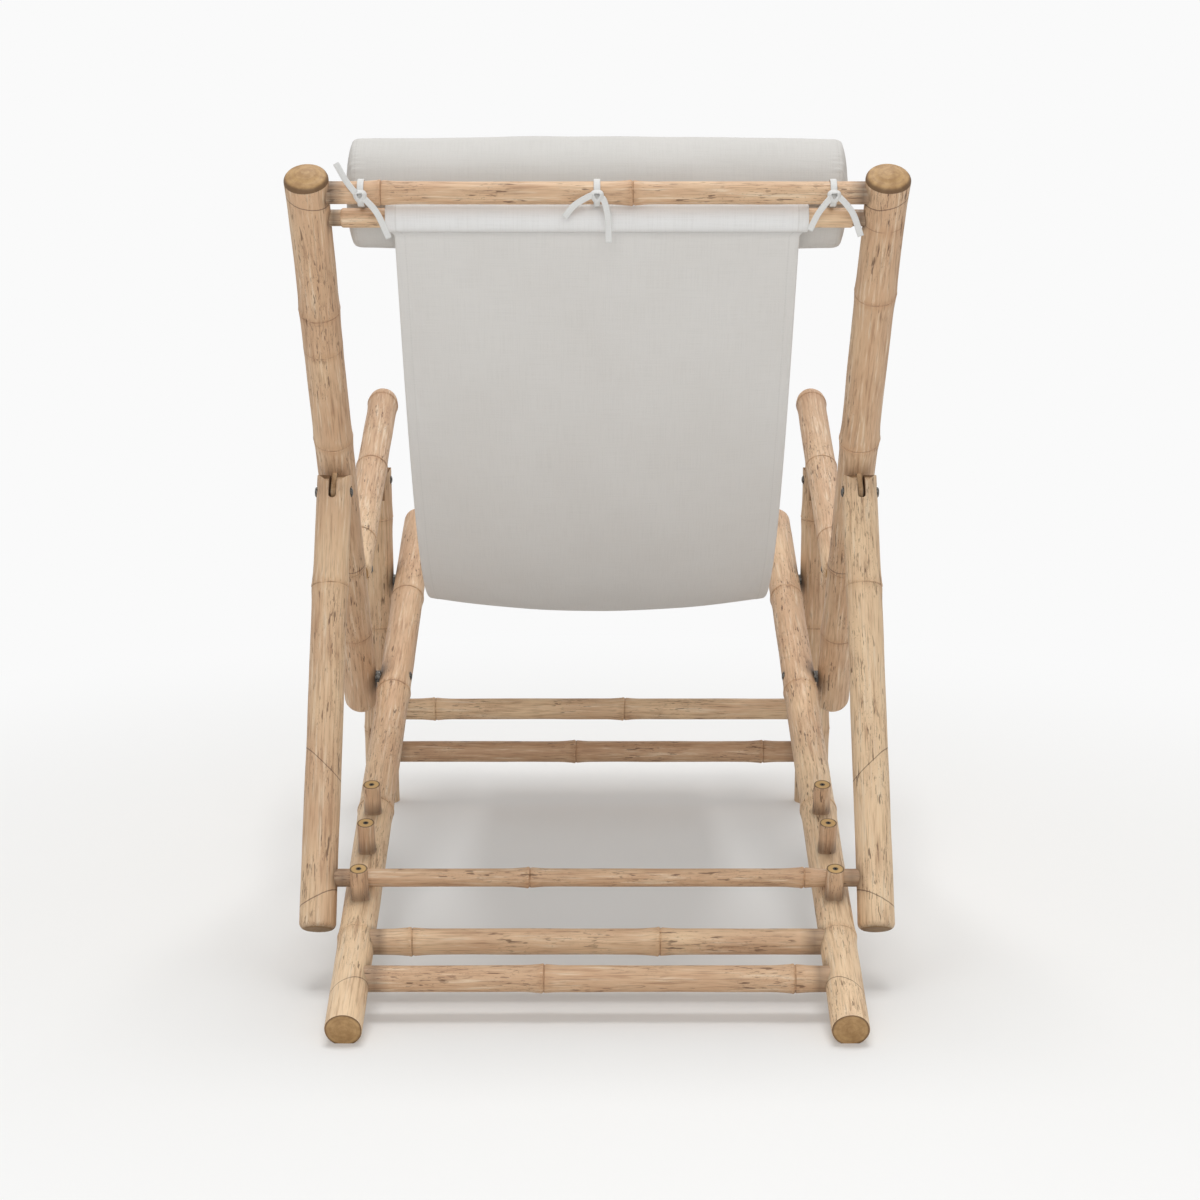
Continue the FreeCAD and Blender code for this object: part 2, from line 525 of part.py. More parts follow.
ARM_TONGUE_REACH = -arm_pin.dot(BACK_BEHIND)
TURNED_OVER = FreeCAD.Rotation(V(0, 0, 1), 180)
for word, side in SIDES:
    start = BACK_PIVOT + BACK_ALONG * size("strut_pin_along")
    tongue("strut_tongue_" + word, size("strut_pin_offset"), pole_place(start, BACK_ANGLE, side * OUTER_X))
    start = BACK_PIVOT + BACK_ALONG * arm_along
    place = pole_place(start, BACK_ANGLE, side * OUTER_X)
    tongue("arm_tongue_" + word, ARM_TONGUE_REACH,
           FreeCAD.Placement(place.Base, place.Rotation.multiply(TURNED_OVER)))
    start = ARM_FRONT_PIN + upper_side(ARM_ANGLE) * size("arm_front_pin_drop")
    place = pole_place(start, ARM_ANGLE, side * OUTER_X)
    tongue("arm_front_tongue_" + word, size("arm_front_pin_drop"),
           FreeCAD.Placement(place.Base, place.Rotation.multiply(TURNED_OVER)))


def round_end(name, radius, pin, end):
    """Trims a pole's upper end round about its pin: all beyond the pin and outside the radius."""
    block = box(name + "_block", str(THROUGH), str(THROUGH), str(end - pin + 10), V(0, 0, pin))
    core = cylinder(name + "_core", radius, str(THROUGH + 10), V(-HALF_THROUGH - 5, 0, pin), ACROSS)
    return cut(name, block, [core])


# Struts: forked at the top, plain at the bottom, joined by the bar that rests on the rails
for word, side in SIDES:
    name = "strut_" + word
    length = STRUT_PIN_ALONG + size("strut_radius")
    cane = turned(name, str(length), "Sizes.strut_radius", "Sizes.strut_radius",
                  ["Sizes.strut_ring_low", "Sizes.strut_ring_low + Sizes.strut_ring_step"])
    cuts = [round_end(name + "_end", "Sizes.strut_radius", STRUT_PIN_ALONG, length),
            bolt_hole(name + "_hole", 0, STRUT_PIN_ALONG),
            seat(name + "_bolt_seat", side, STRUT_SEAT, 0, STRUT_PIN_ALONG),
            seat(name + "_nut_seat", -side, STRUT_SEAT, 0, STRUT_PIN_ALONG),
            socket(name + "_socket", side, "Sizes.strut_bar_radius", 0, size("strut_tail"))]
    cuts += slot(name + "_slot", STRUT_PIN_ALONG, length)
    keep(cut(name, cane, cuts, pole_place(STRUT_START, STRUT_ANGLE, side * OUTER_X)), name)

# Front legs: foot flat on the floor, forked and pared top
for word, side in SIDES:
    name = "leg_" + word
    place = pole_place(LEG_START, LEG_ANGLE, side * OUTER_X)
    rings = ["Sizes.leg_first_ring + %d * Sizes.leg_ring_step" % k for k in range(3)]
    cane = turned(name, str(LEG_LENGTH), "Sizes.leg_foot_radius", "Sizes.leg_top_radius", rings)
    floor = FreeCAD.Placement(V(side * OUTER_X, LEG_START.y, -TRIM_DEPTH), FreeCAD.Rotation())
    ground = inside(place, floor)
    cuts = [box(name + "_floor_trim", *TRIM_BLOCK, ground.Base, ground.Rotation),
            round_end(name + "_end", "Sizes.leg_fork_half_depth", LEG_PIN_ALONG, LEG_LENGTH),
            bolt_hole(name + "_pivot_hole", 0, LEG_REACH),
            seat(name + "_washer_seat", -side, LEG_POLE_SEAT, 0, LEG_REACH,
                 "Sizes.spacer_radius + Sizes.running_gap"),
            seat(name + "_pivot_bolt_seat", side, LEG_BOLT_SEAT, 0, LEG_REACH),
            bolt_hole(name + "_fork_hole", 0, LEG_PIN_ALONG),
            seat(name + "_fork_bolt_seat", side, LEG_FORK_SEAT, 0, LEG_PIN_ALONG),
            seat(name + "_fork_nut_seat", -side, LEG_FORK_SEAT, 0, LEG_PIN_ALONG)]
    for front in (1, -1):
        middle = front * (size("leg_fork_half_depth") + HALF_THROUGH)
        cuts.append(box(name + "_pared_%d" % (front + 1), str(THROUGH), str(THROUGH), str(THROUGH),
                        V(0, middle, LEG_PIN_ALONG - size("fork_cheek_length"))))
    cuts += slot(name + "_slot", LEG_PIN_ALONG, LEG_LENGTH)
    for bar_name, centre in (("high", LEG_BAR_HIGH), ("low", LEG_BAR_LOW)):
        cuts.append(socket(name + "_socket_" + bar_name, side, "Sizes.leg_bar_radius", 0,
                           (centre - LEG_START).Length))
    keep(cut(name, cane, cuts, place), name)

# Armrests: forked rear end, rounded front end, mortise for the tongue on the leg's fork
for word, side in SIDES:
    name = "armrest_" + word
    drop = size("arm_rear_pin_drop")
    reach = size("arm_rear_reach")
    rings = ["Sizes.arm_first_ring + %d * Sizes.arm_ring_step" % k for k in range(2)]
    cane = turned(name, str(ARM_LENGTH), "Sizes.arm_radius", "Sizes.arm_radius", rings,
                  low_round="Sizes.arm_rear_round", high_round="Sizes.arm_front_round")
    cuts = [bolt_hole(name + "_hole", -drop, reach),
            seat(name + "_bolt_seat", side, ARM_SEAT, -drop, reach),
            seat(name + "_nut_seat", -side, ARM_SEAT, -drop, reach),
            box(name + "_mortise", "Sizes.tongue_thickness + 2 * Sizes.pin_clearance", "30",
                "2 * Sizes.tongue_half_width + 2 * Sizes.pin_clearance",
                V(0, -size("tongue_root") + size("pin_clearance") - 15,
                  reach + ARM_PIN_STEP - size("tongue_half_width") - size("pin_clearance")))]
    cuts += slot(name + "_slot", reach, 0, upward=False)
    keep(cut(name, cane, cuts, pole_place(ARM_START, ARM_ANGLE, side * OUTER_X)), name)


# Bolts, cap nuts and spacer washers: one of each on both sides of the chair, the head outside
def mirrored(name, make, centre):
    """The same small piece on both sides, in one node."""
    pair = []
    for word, side in SIDES:
        piece = make(name + "_" + word)
        turn = FreeCAD.Rotation(V(0, 0, 1), 0 if side > 0 else 180)
        piece.Placement = FreeCAD.Placement(V(0, centre.y, centre.z), turn)
        pair.append(piece)
    both = document.addObject("Part::Compound", name)
    both.Links = pair
    return keep(both, name)


BEVEL = 1.2


def button(name, face, outward):
    """A bolt head or nut with a bevelled rim, on a face at the given distance from the middle."""
    flat = size("bolt_head_thickness") - BEVEL
    low = face if outward > 0 else face - flat
    disc = cylinder(name + "_disc", "Sizes.bolt_head_radius", "Sizes.bolt_head_thickness - %g" % BEVEL,
                    V(low, 0, 0), ACROSS)
    rim = document.addObject("Part::Cone", name + "_rim")
    rim.setExpression("Radius1", "Sizes.bolt_head_radius")
    rim.setExpression("Radius2", "Sizes.bolt_head_radius - %g" % (1.5 * BEVEL))
    rim.Height = BEVEL
    rim.Placement = FreeCAD.Placement(V(face + outward * flat, 0, 0),
                                      FreeCAD.Rotation(V(0, 1, 0), 90 * outward))
    return [disc, rim]


def bolt_pair(name, centre, head_face, tip):
    def make(own):
        shank = cylinder(own + "_shank", "Sizes.bolt_radius", str(head_face - tip), V(tip, 0, 0), ACROSS)
        return fused(own, [shank] + button(own, head_face, 1))
    return mirrored(name, make, centre)


NUT_BORE = 1.6


def nut_pair(name, centre, face):
    def make(own):
        cap = fused(own + "_cap", button(own, face, -1))
        bore = cylinder(own + "_bore", HOLE, str(NUT_BORE + 1), V(face - NUT_BORE, 0, 0), ACROSS)
        return cut(own, cap, [bore])
    return mirrored(name, make, centre)


def washer_pair(name, centre, inner_face, thickness):
    def make(own):
        ring = cylinder(own + "_ring", "Sizes.spacer_radius", str(thickness), V(inner_face, 0, 0), ACROSS)
        bore = cylinder(own + "_bore", HOLE, str(thickness + 2), V(inner_face - 1, 0, 0), ACROSS)
        return cut(own, ring, [bore])
    return mirrored(name, make, centre)


TURN_GAP = size("running_gap")
SHANK_PAST_FACE = NUT_BORE - 0.2
for pivot, centre, pole_seat, nut_seat, rail_seat, washer in (
        ("back_pivot", BACK_PIVOT, BACK_BOLT_SEAT, RAIL_BACK_NUT_SEAT, BACK_RAIL_SEAT, BACK_WASHER),
        ("leg_pivot", LEG_PIVOT, LEG_BOLT_SEAT, RAIL_LEG_NUT_SEAT, LEG_RAIL_SEAT, LEG_WASHER)):
    nut_face = RAIL_X - nut_seat
    bolt_pair(pivot + "_bolts", centre, OUTER_X + pole_seat + TURN_GAP, nut_face - SHANK_PAST_FACE)
    nut_pair(pivot + "_nuts", centre, nut_face)
    washer_pair(pivot + "_washers", centre, RAIL_X + rail_seat, washer)
for pivot, centre, fork_seat, gap in (("strut", STRUT_PIN, STRUT_SEAT, TURN_GAP),
                                      ("arm_rear", ARM_REAR_PIN, ARM_SEAT, TURN_GAP),
                                      ("arm_front", ARM_FRONT_PIN, LEG_FORK_SEAT, 0.0)):
    nut_face = OUTER_X - fork_seat - gap
    bolt_pair(pivot + "_bolts", centre, OUTER_X + fork_seat + gap, nut_face - SHANK_PAST_FACE)
    nut_pair(pivot + "_nuts", centre, nut_face)

# Canvas sling: a hem line that hangs between its two bars, lower in the middle than at the hems,
# with a sewn pocket round each bar
POCKET_BORE = size("sling_bar_radius") + size("pin_clearance")


def hem_line(share):
    """The hem at a share of the way from the head bar to the front bar."""
    chord = SLING_HEAD_BAR + (SLING_FRONT_BAR - SLING_HEAD_BAR) * share
    hang = math.sin(math.pi * share ** size("sling_lean")) ** size("sling_fullness")
    return chord - V(0, 0, size("sling_depth") * hang)


def share_in_pocket(centre, near, far):
    """The share at which the hem line is in the middle of a pocket's wall."""
    target = (POCKET_BORE + size("pocket_radius")) / 2
    for step in range(40):
        middle = (near + far) / 2
        if (hem_line(middle) - centre).Length < target:
            near = middle
        else:
            far = middle
    return (near + far) / 2


def sling_section(share, sag):
    """A closed cross section of the canvas, square to the hem line."""
    here = hem_line(share)
    ahead = hem_line(share + 0.001) - hem_line(share - 0.001)
    ahead.normalize()
    outward = V(0, ahead.z, -ahead.y)
    half = size("sling_width") / 2
    faces = []
    for offset in (size("cloth_thickness") / 2, -size("cloth_thickness") / 2):
        points = []
        for k in range(7):
            x = half * (k / 3.0 - 1)
            lower = sag * (1 - (x / half) ** 2)
            points.append(V(x, here.y, here.z) + outward * (offset - lower))
        curve = Part.BSplineCurve()
        curve.interpolate(points)
        faces.append((curve.toShape(), points))
    upper, lower = faces
    return Part.Wire([upper[0], Part.makeLine(upper[1][-1], lower[1][-1]), lower[0],
                      Part.makeLine(lower[1][0], upper[1][0])])


first_share = share_in_pocket(SLING_HEAD_BAR, 0.0002, 0.2)
last_share = share_in_pocket(SLING_FRONT_BAR, 0.9998, 0.8)
STATIONS = 13
sections = []
for station in range(STATIONS):
    part_way = station / (STATIONS - 1)
    share = first_share + (last_share - first_share) * part_way
    sections.append(sling_section(share, size("sling_sag") * math.sin(math.pi * part_way) ** 0.7))
canvas = document.addObject("Part::Feature", "sling_canvas")
canvas.Shape = Part.makeLoft(sections, True, False)
pockets = []
bores = []
for word, centre in (("head", SLING_HEAD_BAR), ("front", SLING_FRONT_BAR)):
    half = size("pocket_width") / 2
    pockets.append(cylinder("sling_pocket_" + word, "Sizes.pocket_radius", "Sizes.pocket_width",
                            V(-half, centre.y, centre.z), ACROSS))
    bores.append(cylinder("sling_bore_" + word, "Sizes.sling_bar_radius + Sizes.pin_clearance",
                          "Sizes.pocket_width + 20", V(-half - 10, centre.y, centre.z), ACROSS))
keep(cut("sling", fused("sling_cloth", [canvas] + pockets), bores), "sling")

# Head bolster: crowned in the middle, drawn in at its rounded ends
lean = math.radians(size("bolster_lean"))
BOLSTER_REACH = size("bolster_radius") + size("pocket_radius") + TURN_GAP
BOLSTER = SLING_HEAD_BAR + V(0, -math.cos(lean), math.sin(lean)) * BOLSTER_REACH
END_RADIUS = size("bolster_radius") - size("bolster_crown")
BOLSTER_HALF = size("bolster_length") / 2
body = document.addObject("PartDesign::Body", "bolster_body")
plane = [f for f in body.Origin.OriginFeatures if f.Role == "XZ_Plane"][0]
sketch = body.newObject("Sketcher::SketchObject", "bolster_profile")
sketch.AttachmentSupport = (plane, [""])
sketch.MapMode = "FlatFace"
low_rim = V(END_RADIUS, -BOLSTER_HALF, 0)
high_rim = V(END_RADIUS, BOLSTER_HALF, 0)
crown = Part.Arc(low_rim, V(size("bolster_radius"), 0, 0), high_rim)
for edge in (Part.LineSegment(V(0, -BOLSTER_HALF, 0), low_rim), crown,
             Part.LineSegment(high_rim, V(0, BOLSTER_HALF, 0)),
             Part.LineSegment(V(0, BOLSTER_HALF, 0), V(0, -BOLSTER_HALF, 0))):
    number = sketch.addGeometry(edge, False)
    sketch.addConstraint(Sketcher.Constraint("Block", number))
stuffed = body.newObject("PartDesign::Revolution", "bolster_turning")
stuffed.Profile = sketch
stuffed.ReferenceAxis = (sketch, ["V_Axis"])
stuffed.Angle = 360
document.recompute()
rims = ["Edge%d" % (i + 1) for i, edge in enumerate(stuffed.Shape.Edges)
        if edge.Curve.TypeId == "Part::GeomCircle" and abs(abs(edge.Curve.Center.z) - BOLSTER_HALF) < 1e-4]
rounding = body.newObject("PartDesign::Fillet", "bolster_rims")
rounding.Base = (stuffed, rims)
rounding.setExpression("Radius", "Sizes.bolster_rim")
body.Placement = FreeCAD.Placement(BOLSTER, ACROSS)
keep(body, "head_bolster")

# Ties: a loop of tape from the bolster round the head bar, an overhand knot and two tails
TAPE = size("tie_thickness")
TIE_GAP = 0.1
TAIL_LENGTHS = ((46, 52), (42, 54), (46, 52))
TAIL_ANGLES = ((35, 214), (124, 193), (145, 215))


def teardrop(sketch, big, small, reach):
    """A closed loop of tape round a bar at the origin, drawn to a point at +X of the sketch."""
    lean = math.acos((big - small) / reach)
    away = 2 * math.pi - lean
    tip = V(reach, 0, 0)
    top = V(big * math.cos(lean), big * math.sin(lean), 0)
    top_end = tip + V(small * math.cos(lean), small * math.sin(lean), 0)
    under = V(top.x, -top.y, 0)
    under_end = V(top_end.x, -top_end.y, 0)
    axis = V(0, 0, 1)
    for edge in (Part.ArcOfCircle(Part.Circle(V(0, 0, 0), axis, big), lean, away),
                 Part.LineSegment(under, under_end),
                 Part.ArcOfCircle(Part.Circle(tip, axis, small), -lean, lean),
                 Part.LineSegment(top_end, top)):
        number = sketch.addGeometry(edge, False)
        sketch.addConstraint(Sketcher.Constraint("Block", number))


to_bolster = BOLSTER - HEAD_BAR
tie_lean = math.degrees(math.atan2(to_bolster.z, -to_bolster.y))
for (word, place), lengths, angles in zip((("left", 1), ("middle", 0), ("right", -1)), TAIL_LENGTHS,
                                          TAIL_ANGLES):
    name = "tie_" + word
    x = place * size("tie_spacing")
    surface = size("bolster_radius") - size("bolster_crown") * (x / BOLSTER_HALF) ** 2
    body = document.addObject("PartDesign::Body", name + "_body")
    plane = [f for f in body.Origin.OriginFeatures if f.Role == "XY_Plane"][0]
    sketch = body.newObject("Sketcher::SketchObject", name + "_route")
    sketch.AttachmentSupport = (plane, [""])
    sketch.MapMode = "FlatFace"
    reach = to_bolster.Length - surface + TAPE
    inner = size("head_bar_radius") + size("bar_ring_rise") + TIE_GAP
    teardrop(sketch, inner + TAPE, 1.5 * TAPE, reach)
    teardrop(sketch, inner, 0.5 * TAPE, reach)
    tape = body.newObject("PartDesign::Pad", name + "_tape")
    tape.Profile = sketch
    tape.setExpression("Length", "Sizes.tie_width")
    front = FreeCAD.Rotation(V(1, 0, 0), -tie_lean).multiply(
        FreeCAD.Rotation(V(0, -1, 0), V(0, 0, 1), V(-1, 0, 0), "XYZ"))
    body.Placement = FreeCAD.Placement(V(size("tie_width") / 2, 0, 0), front)
    behind = inner + size("knot_thickness") / 2 + 0.6 * TAPE
    knot = document.addObject("Part::Prism", name + "_knot")
    knot.Polygon = 5
    knot.setExpression("Circumradius", "Sizes.knot_radius")
    knot.setExpression("Height", "Sizes.knot_thickness")
    knot.Placement = FreeCAD.Placement(V(0, behind - size("knot_thickness") / 2, 0), BACKWARD)
    pieces = [body, knot]
    for number, (length, angle) in enumerate(zip(lengths, angles), start=1):
        turn = FreeCAD.Rotation(V(0, 1, 0), angle)
        pieces.append(box("%s_tail_%d" % (name, number), "Sizes.tie_width", "Sizes.tie_thickness",
                          str(length), V(0, behind, 0), turn))
    seat_on_bolster = cylinder(name + "_seat", str(surface + 0.05), "4 * Sizes.tie_width",
                               to_bolster - V(2 * size("tie_width"), 0, 0), ACROSS)
    place = FreeCAD.Placement(HEAD_BAR + V(x, 0, 0), FreeCAD.Rotation())
    keep(cut(name, fused(name + "_cloth", pieces), [seat_on_bolster], place), name)

# Check every piece, then write each one
document.recompute()
wrong = []
for feature in document.Objects:
    if "Invalid" in feature.State or "Error" in feature.State:
        wrong.append(feature.Name + " " + str(feature.State))
for feature in nodes:
    if feature.Shape.isNull() or not feature.Shape.isValid():
        wrong.append(feature.Label + " has no valid shape")
if wrong:
    raise RuntimeError("; ".join(wrong))
os.makedirs("parts", exist_ok=True)
for feature in nodes:
    feature.Shape.exportStep("parts/%s.step" % feature.Label)
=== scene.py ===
import math
import random

import bmesh
import bpy
import numpy as np
from mathutils import Matrix, Vector, noise


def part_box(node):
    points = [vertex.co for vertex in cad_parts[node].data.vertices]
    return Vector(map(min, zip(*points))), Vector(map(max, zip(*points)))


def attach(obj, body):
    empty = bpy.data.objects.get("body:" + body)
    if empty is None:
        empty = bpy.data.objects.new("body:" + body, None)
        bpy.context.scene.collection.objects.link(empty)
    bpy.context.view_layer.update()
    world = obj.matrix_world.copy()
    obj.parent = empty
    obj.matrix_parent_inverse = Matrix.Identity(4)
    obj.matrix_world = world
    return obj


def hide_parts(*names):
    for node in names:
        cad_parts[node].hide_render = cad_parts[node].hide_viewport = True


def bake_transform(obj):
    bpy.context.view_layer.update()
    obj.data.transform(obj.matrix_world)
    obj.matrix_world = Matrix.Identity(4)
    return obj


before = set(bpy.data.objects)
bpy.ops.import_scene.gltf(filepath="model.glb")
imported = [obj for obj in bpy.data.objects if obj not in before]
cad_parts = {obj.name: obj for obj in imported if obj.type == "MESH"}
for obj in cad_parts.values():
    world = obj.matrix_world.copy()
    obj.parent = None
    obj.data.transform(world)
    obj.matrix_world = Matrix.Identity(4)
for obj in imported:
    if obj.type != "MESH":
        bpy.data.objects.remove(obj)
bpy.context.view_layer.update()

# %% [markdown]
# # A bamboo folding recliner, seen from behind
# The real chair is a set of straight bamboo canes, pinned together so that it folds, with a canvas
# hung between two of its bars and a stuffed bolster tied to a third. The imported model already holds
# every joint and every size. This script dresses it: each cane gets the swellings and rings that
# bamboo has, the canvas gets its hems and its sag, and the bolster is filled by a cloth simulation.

MM = 0.001


def new_object(name, data):
    made = bpy.data.objects.new(name, data)
    bpy.context.collection.objects.link(made)
    return made


def new_mesh(name, shape):
    """A mesh from a finished shape, which is then given up."""
    mesh = bpy.data.meshes.new(name)
    shape.to_mesh(mesh)
    shape.free()
    return mesh


def work_in(piece, modifier):
    """Works a modifier into the piece's mesh for good, and gives the new mesh."""
    graph = bpy.context.evaluated_depsgraph_get()
    mesh = bpy.data.meshes.new_from_object(piece.evaluated_get(graph))
    piece.modifiers.remove(modifier)
    piece.data = mesh
    return mesh


def coordinates(mesh):
    """The mesh's points as an array with a row for each."""
    flat = np.empty(len(mesh.vertices) * 3)
    mesh.vertices.foreach_get("co", flat)
    return flat.reshape(-1, 3)


# %% [markdown]
# ## The camera
# The photograph was taken from behind, a little above the head bar, with a long lens. A long lens
# keeps the poles nearly parallel, as in the picture. The sides of the chair are mirror images, so a
# tiny lens shift puts its middle where the photograph has it, and the camera stays on the middle line.

# %% Camera
FOCAL_MM, SENSOR_MM = 72.0, 36.0
LENS_SHIFT = 0.0025
CAMERA_HEIGHT, CAMERA_BEHIND = 0.871, 2.9139
TILT_DOWN = 9.86

camera = new_object("photo_camera", bpy.data.cameras.new("photo_camera"))
camera.data.lens = FOCAL_MM
camera.data.sensor_width = SENSOR_MM
camera.data.shift_x = LENS_SHIFT
camera.location = (0.0, CAMERA_BEHIND, CAMERA_HEIGHT)
camera.rotation_euler = (math.radians(90.0 - TILT_DOWN), 0.0, math.radians(180.0))
bpy.context.scene.camera = camera
bpy.context.scene.view_settings.view_transform = "Standard"
print("camera", camera.location[:], "lens", camera.data.lens)

# %% [markdown]
# ## Shader maths as plain expressions
# A material's pattern is arithmetic: stretch a noise, cut it at a level, mix two colours by it. Wired
# by hand that takes dozens of nodes, so a socket is wrapped in a small class whose operators add the
# Math nodes. Every other node comes from one method, which takes its settings and its sockets.

# %% A socket with operators, and a finish that makes nodes
class Wire:
    """A value in a material, which can be used in sums."""

    def __init__(self, finish, socket):
        self.finish = finish
        self.socket = socket

    def __add__(self, other):
        return self.finish.maths("ADD", self, other)

    def __radd__(self, other):
        return self.finish.maths("ADD", other, self)

    def __sub__(self, other):
        return self.finish.maths("SUBTRACT", self, other)

    def __rsub__(self, other):
        return self.finish.maths("SUBTRACT", other, self)

    def __mul__(self, other):
        return self.finish.maths("MULTIPLY", self, other)

    def __rmul__(self, other):
        return self.finish.maths("MULTIPLY", other, self)

    def __abs__(self):
        return self.finish.maths("ABSOLUTE", self)

    def sine(self):
        return self.finish.maths("SINE", self)

    def ramp(self, low, high):
        """0 below low, 1 above high, and a smooth step between; low may be above high."""
        return self.finish.node("ShaderNodeMapRange", {"interpolation_type": "SMOOTHSTEP"},
                                {"Value": self, "From Min": low, "From Max": high})


class Finish:
    """A material with one principled surface, or the world with its background, and its nodes."""

    def __init__(self, name, roughness=None, world=None):
        self.material = world or bpy.data.materials.new(name)
        self.material.use_nodes = True
        self.tree = self.material.node_tree
        self.surface = self.tree.nodes["Background" if world else "Principled BSDF"]
        if roughness is not None:
            self.wear(Roughness=roughness)

    def put(self, socket, value):
        if isinstance(value, Wire):
            self.tree.links.new(value.socket, socket)
        else:
            socket.default_value = value

    def node(self, kind, settings=None, sockets=None, out=0):
        made = self.tree.nodes.new(kind)
        for key, value in (settings or {}).items():
            setattr(made, key, value)
        for key, value in (sockets or {}).items():
            self.put(made.inputs[key], value)
        return Wire(self, made.outputs[out])

    def maths(self, operation, first, second=0.0):
        return self.node("ShaderNodeMath", {"operation": operation}, {0: first, 1: second})

    def attribute(self, name, out="Fac"):
        return self.node("ShaderNodeAttribute", {"attribute_name": name}, out=out)

    def parts(self, vector):
        """The X, Y and Z of a vector, each as a value."""
        split = self.node("ShaderNodeSeparateXYZ", None, {0: vector})
        return [Wire(self, out) for out in split.socket.node.outputs]

    def cloud(self, place, per_metre, detail=2.0, roughness=0.5):
        """Noise with so many lumps in a metre along X, Y and Z."""
        spread = self.node("ShaderNodeVectorMath", {"operation": "MULTIPLY"}, {0: place, 1: per_metre})
        return self.node("ShaderNodeTexNoise", {"noise_dimensions": "3D"},
                         {"Vector": spread, "Scale": 1.0, "Detail": detail, "Roughness": roughness})

    def blend(self, factor, first, second, mode="MIX"):
        """Mixes two colours; a factor of 1 gives the second."""
        return self.node("ShaderNodeMix", {"data_type": "RGBA", "blend_type": mode},
                         {0: factor, 6: first, 7: second}, out=2)

    def coats(self, body, *rows):
        """Lays colours over a first one. Each row is how much of the coat shows, and its colour."""
        for factor, tint in rows:
            body = self.blend(factor, body, tint)
        return body

    def relief(self, height, depth, strength):
        return self.node("ShaderNodeBump", None,
                         {"Height": height, "Distance": depth, "Strength": strength})

    def wear(self, **sockets):
        for key, value in sockets.items():
            self.put(self.surface.inputs[key.replace("_", " ")], value)

    def mixed_out(self, output, share, other):
        """Shows the surface mixed with another shader; a share of 1 gives the other."""
        mixed = self.node("ShaderNodeMixShader", None,
                          {0: share, 1: Wire(self, self.surface.outputs[0]), 2: other})
        self.put(self.tree.nodes[output].inputs["Surface"], mixed)


def colour(red, green, blue):
    """A colour from its 0 to 255 screen values, in the linear values that shaders take."""
    def linear(v):
        v = v / 255.0
        return v / 12.92 if v <= 0.04045 else ((v + 0.055) / 1.055) ** 2.4
    return (linear(red), linear(green), linear(blue), 1.0)


print("warm tan in linear values", [round(v, 3) for v in colour(200, 165, 130)])

# %% [markdown]
# ## The floor and the background
# The picture has no horizon: a pale floor fades into a nearly white background and keeps only the
# chair's soft shadow. One large plane does it. Near the chair it is almost all a real matt surface,
# and further out it turns into plain light of the background's own tone, so that no edge shows.

# %% Floor and world
BACKGROUND = colour(250, 250, 250)
FLOOR_PAPER = colour(234, 234, 233)
FLOOR_SIZE = 60.0
FLOOR_NEAR, FLOOR_FAR = 0.6, 1.7
GLOW_BESIDE_CHAIR = 0.12
WORLD_LIGHT, WORLD_STRENGTH = (1.0, 0.995, 0.985, 1.0), 0.46


def floor_paper():
    paper = Finish("studio_paper", 0.9)
    paper.wear(Base_Color=FLOOR_PAPER, Specular_IOR_Level=0.0)
    place = paper.node("ShaderNodeNewGeometry", out="Position")
    away = paper.node("ShaderNodeVectorMath", {"operation": "LENGTH"}, {0: place}, out="Value")
    glow = paper.node("ShaderNodeEmission", None, {"Color": BACKGROUND, "Strength": 1.0})
    seen = paper.node("ShaderNodeLightPath", out="Is Camera Ray")
    far = away.ramp(FLOOR_NEAR, FLOOR_FAR)
    share = seen * (GLOW_BESIDE_CHAIR + (1.0 - GLOW_BESIDE_CHAIR) * far)
    paper.mixed_out("Material Output", share, glow)
    return paper.material


def studio_world():
    world = bpy.data.worlds.new("studio")
    bpy.context.scene.world = world
    sky = Finish("studio", world=world)
    sky.wear(Color=WORLD_LIGHT, Strength=WORLD_STRENGTH)
    white = sky.node("ShaderNodeBackground", None, {"Color": BACKGROUND})
    direct, through, mirrored = (sky.node("ShaderNodeLightPath", out="Is %s Ray" % kind)
                                 for kind in ("Camera", "Transmission", "Glossy"))
    seen = sky.maths("MAXIMUM", sky.maths("MAXIMUM", direct, through), mirrored)
    sky.mixed_out("World Output", seen, white)


half = FLOOR_SIZE / 2
floor_mesh = bpy.data.meshes.new("studio_floor")
floor_mesh.from_pydata([(-half, -half, 0), (half, -half, 0), (half, half, 0), (-half, half, 0)],
                       [], [(0, 1, 2, 3)])
floor_mesh.materials.append(floor_paper())
floor = new_object("studio_floor", floor_mesh)
studio_world()
print("floor", floor.dimensions[:])

# %% Lamps
LAMPS = (
    ("overhead_lamp", (0.0, -0.8, 8.0), (0.0, -0.1, 0.3), 3.8, 358.0),
    ("front_lamp", (-1.2, -2.6, 1.9), (0.0, 0.0, 0.5), 1.6, 7.0),
    ("camera_side_lamp", (0.0, 3.2, 1.5), (0.0, 0.0, 0.4), 1.4, 27.0),
)
for name, place, aim, size, watts in LAMPS:
    lamp = new_object(name, bpy.data.lights.new(name, "AREA"))
    lamp.data.shape = "SQUARE"
    lamp.data.size = size
    lamp.data.energy = watts
    lamp.location = place
    lamp.rotation_euler = (Vector(aim) - Vector(place)).to_track_quat("-Z", "Y").to_euler()
print("lamps", [row[0] for row in LAMPS])

# %% [markdown]
# ## What bamboo looks like
# These canes are sun-dried bamboo without varnish. The skin is a warm tan that drifts between
# straw and a rosier brown along each cane. Fine fibres run lengthwise, short dark dashes of mould and
# worn skin lie along them, and each growth ring is a thin dark groove beside a low ridge. All of it
# follows the cane, so every cane's mesh carries its own coordinates: across in X and Y, along in Z,
# and how far each point is from the nearest ring.

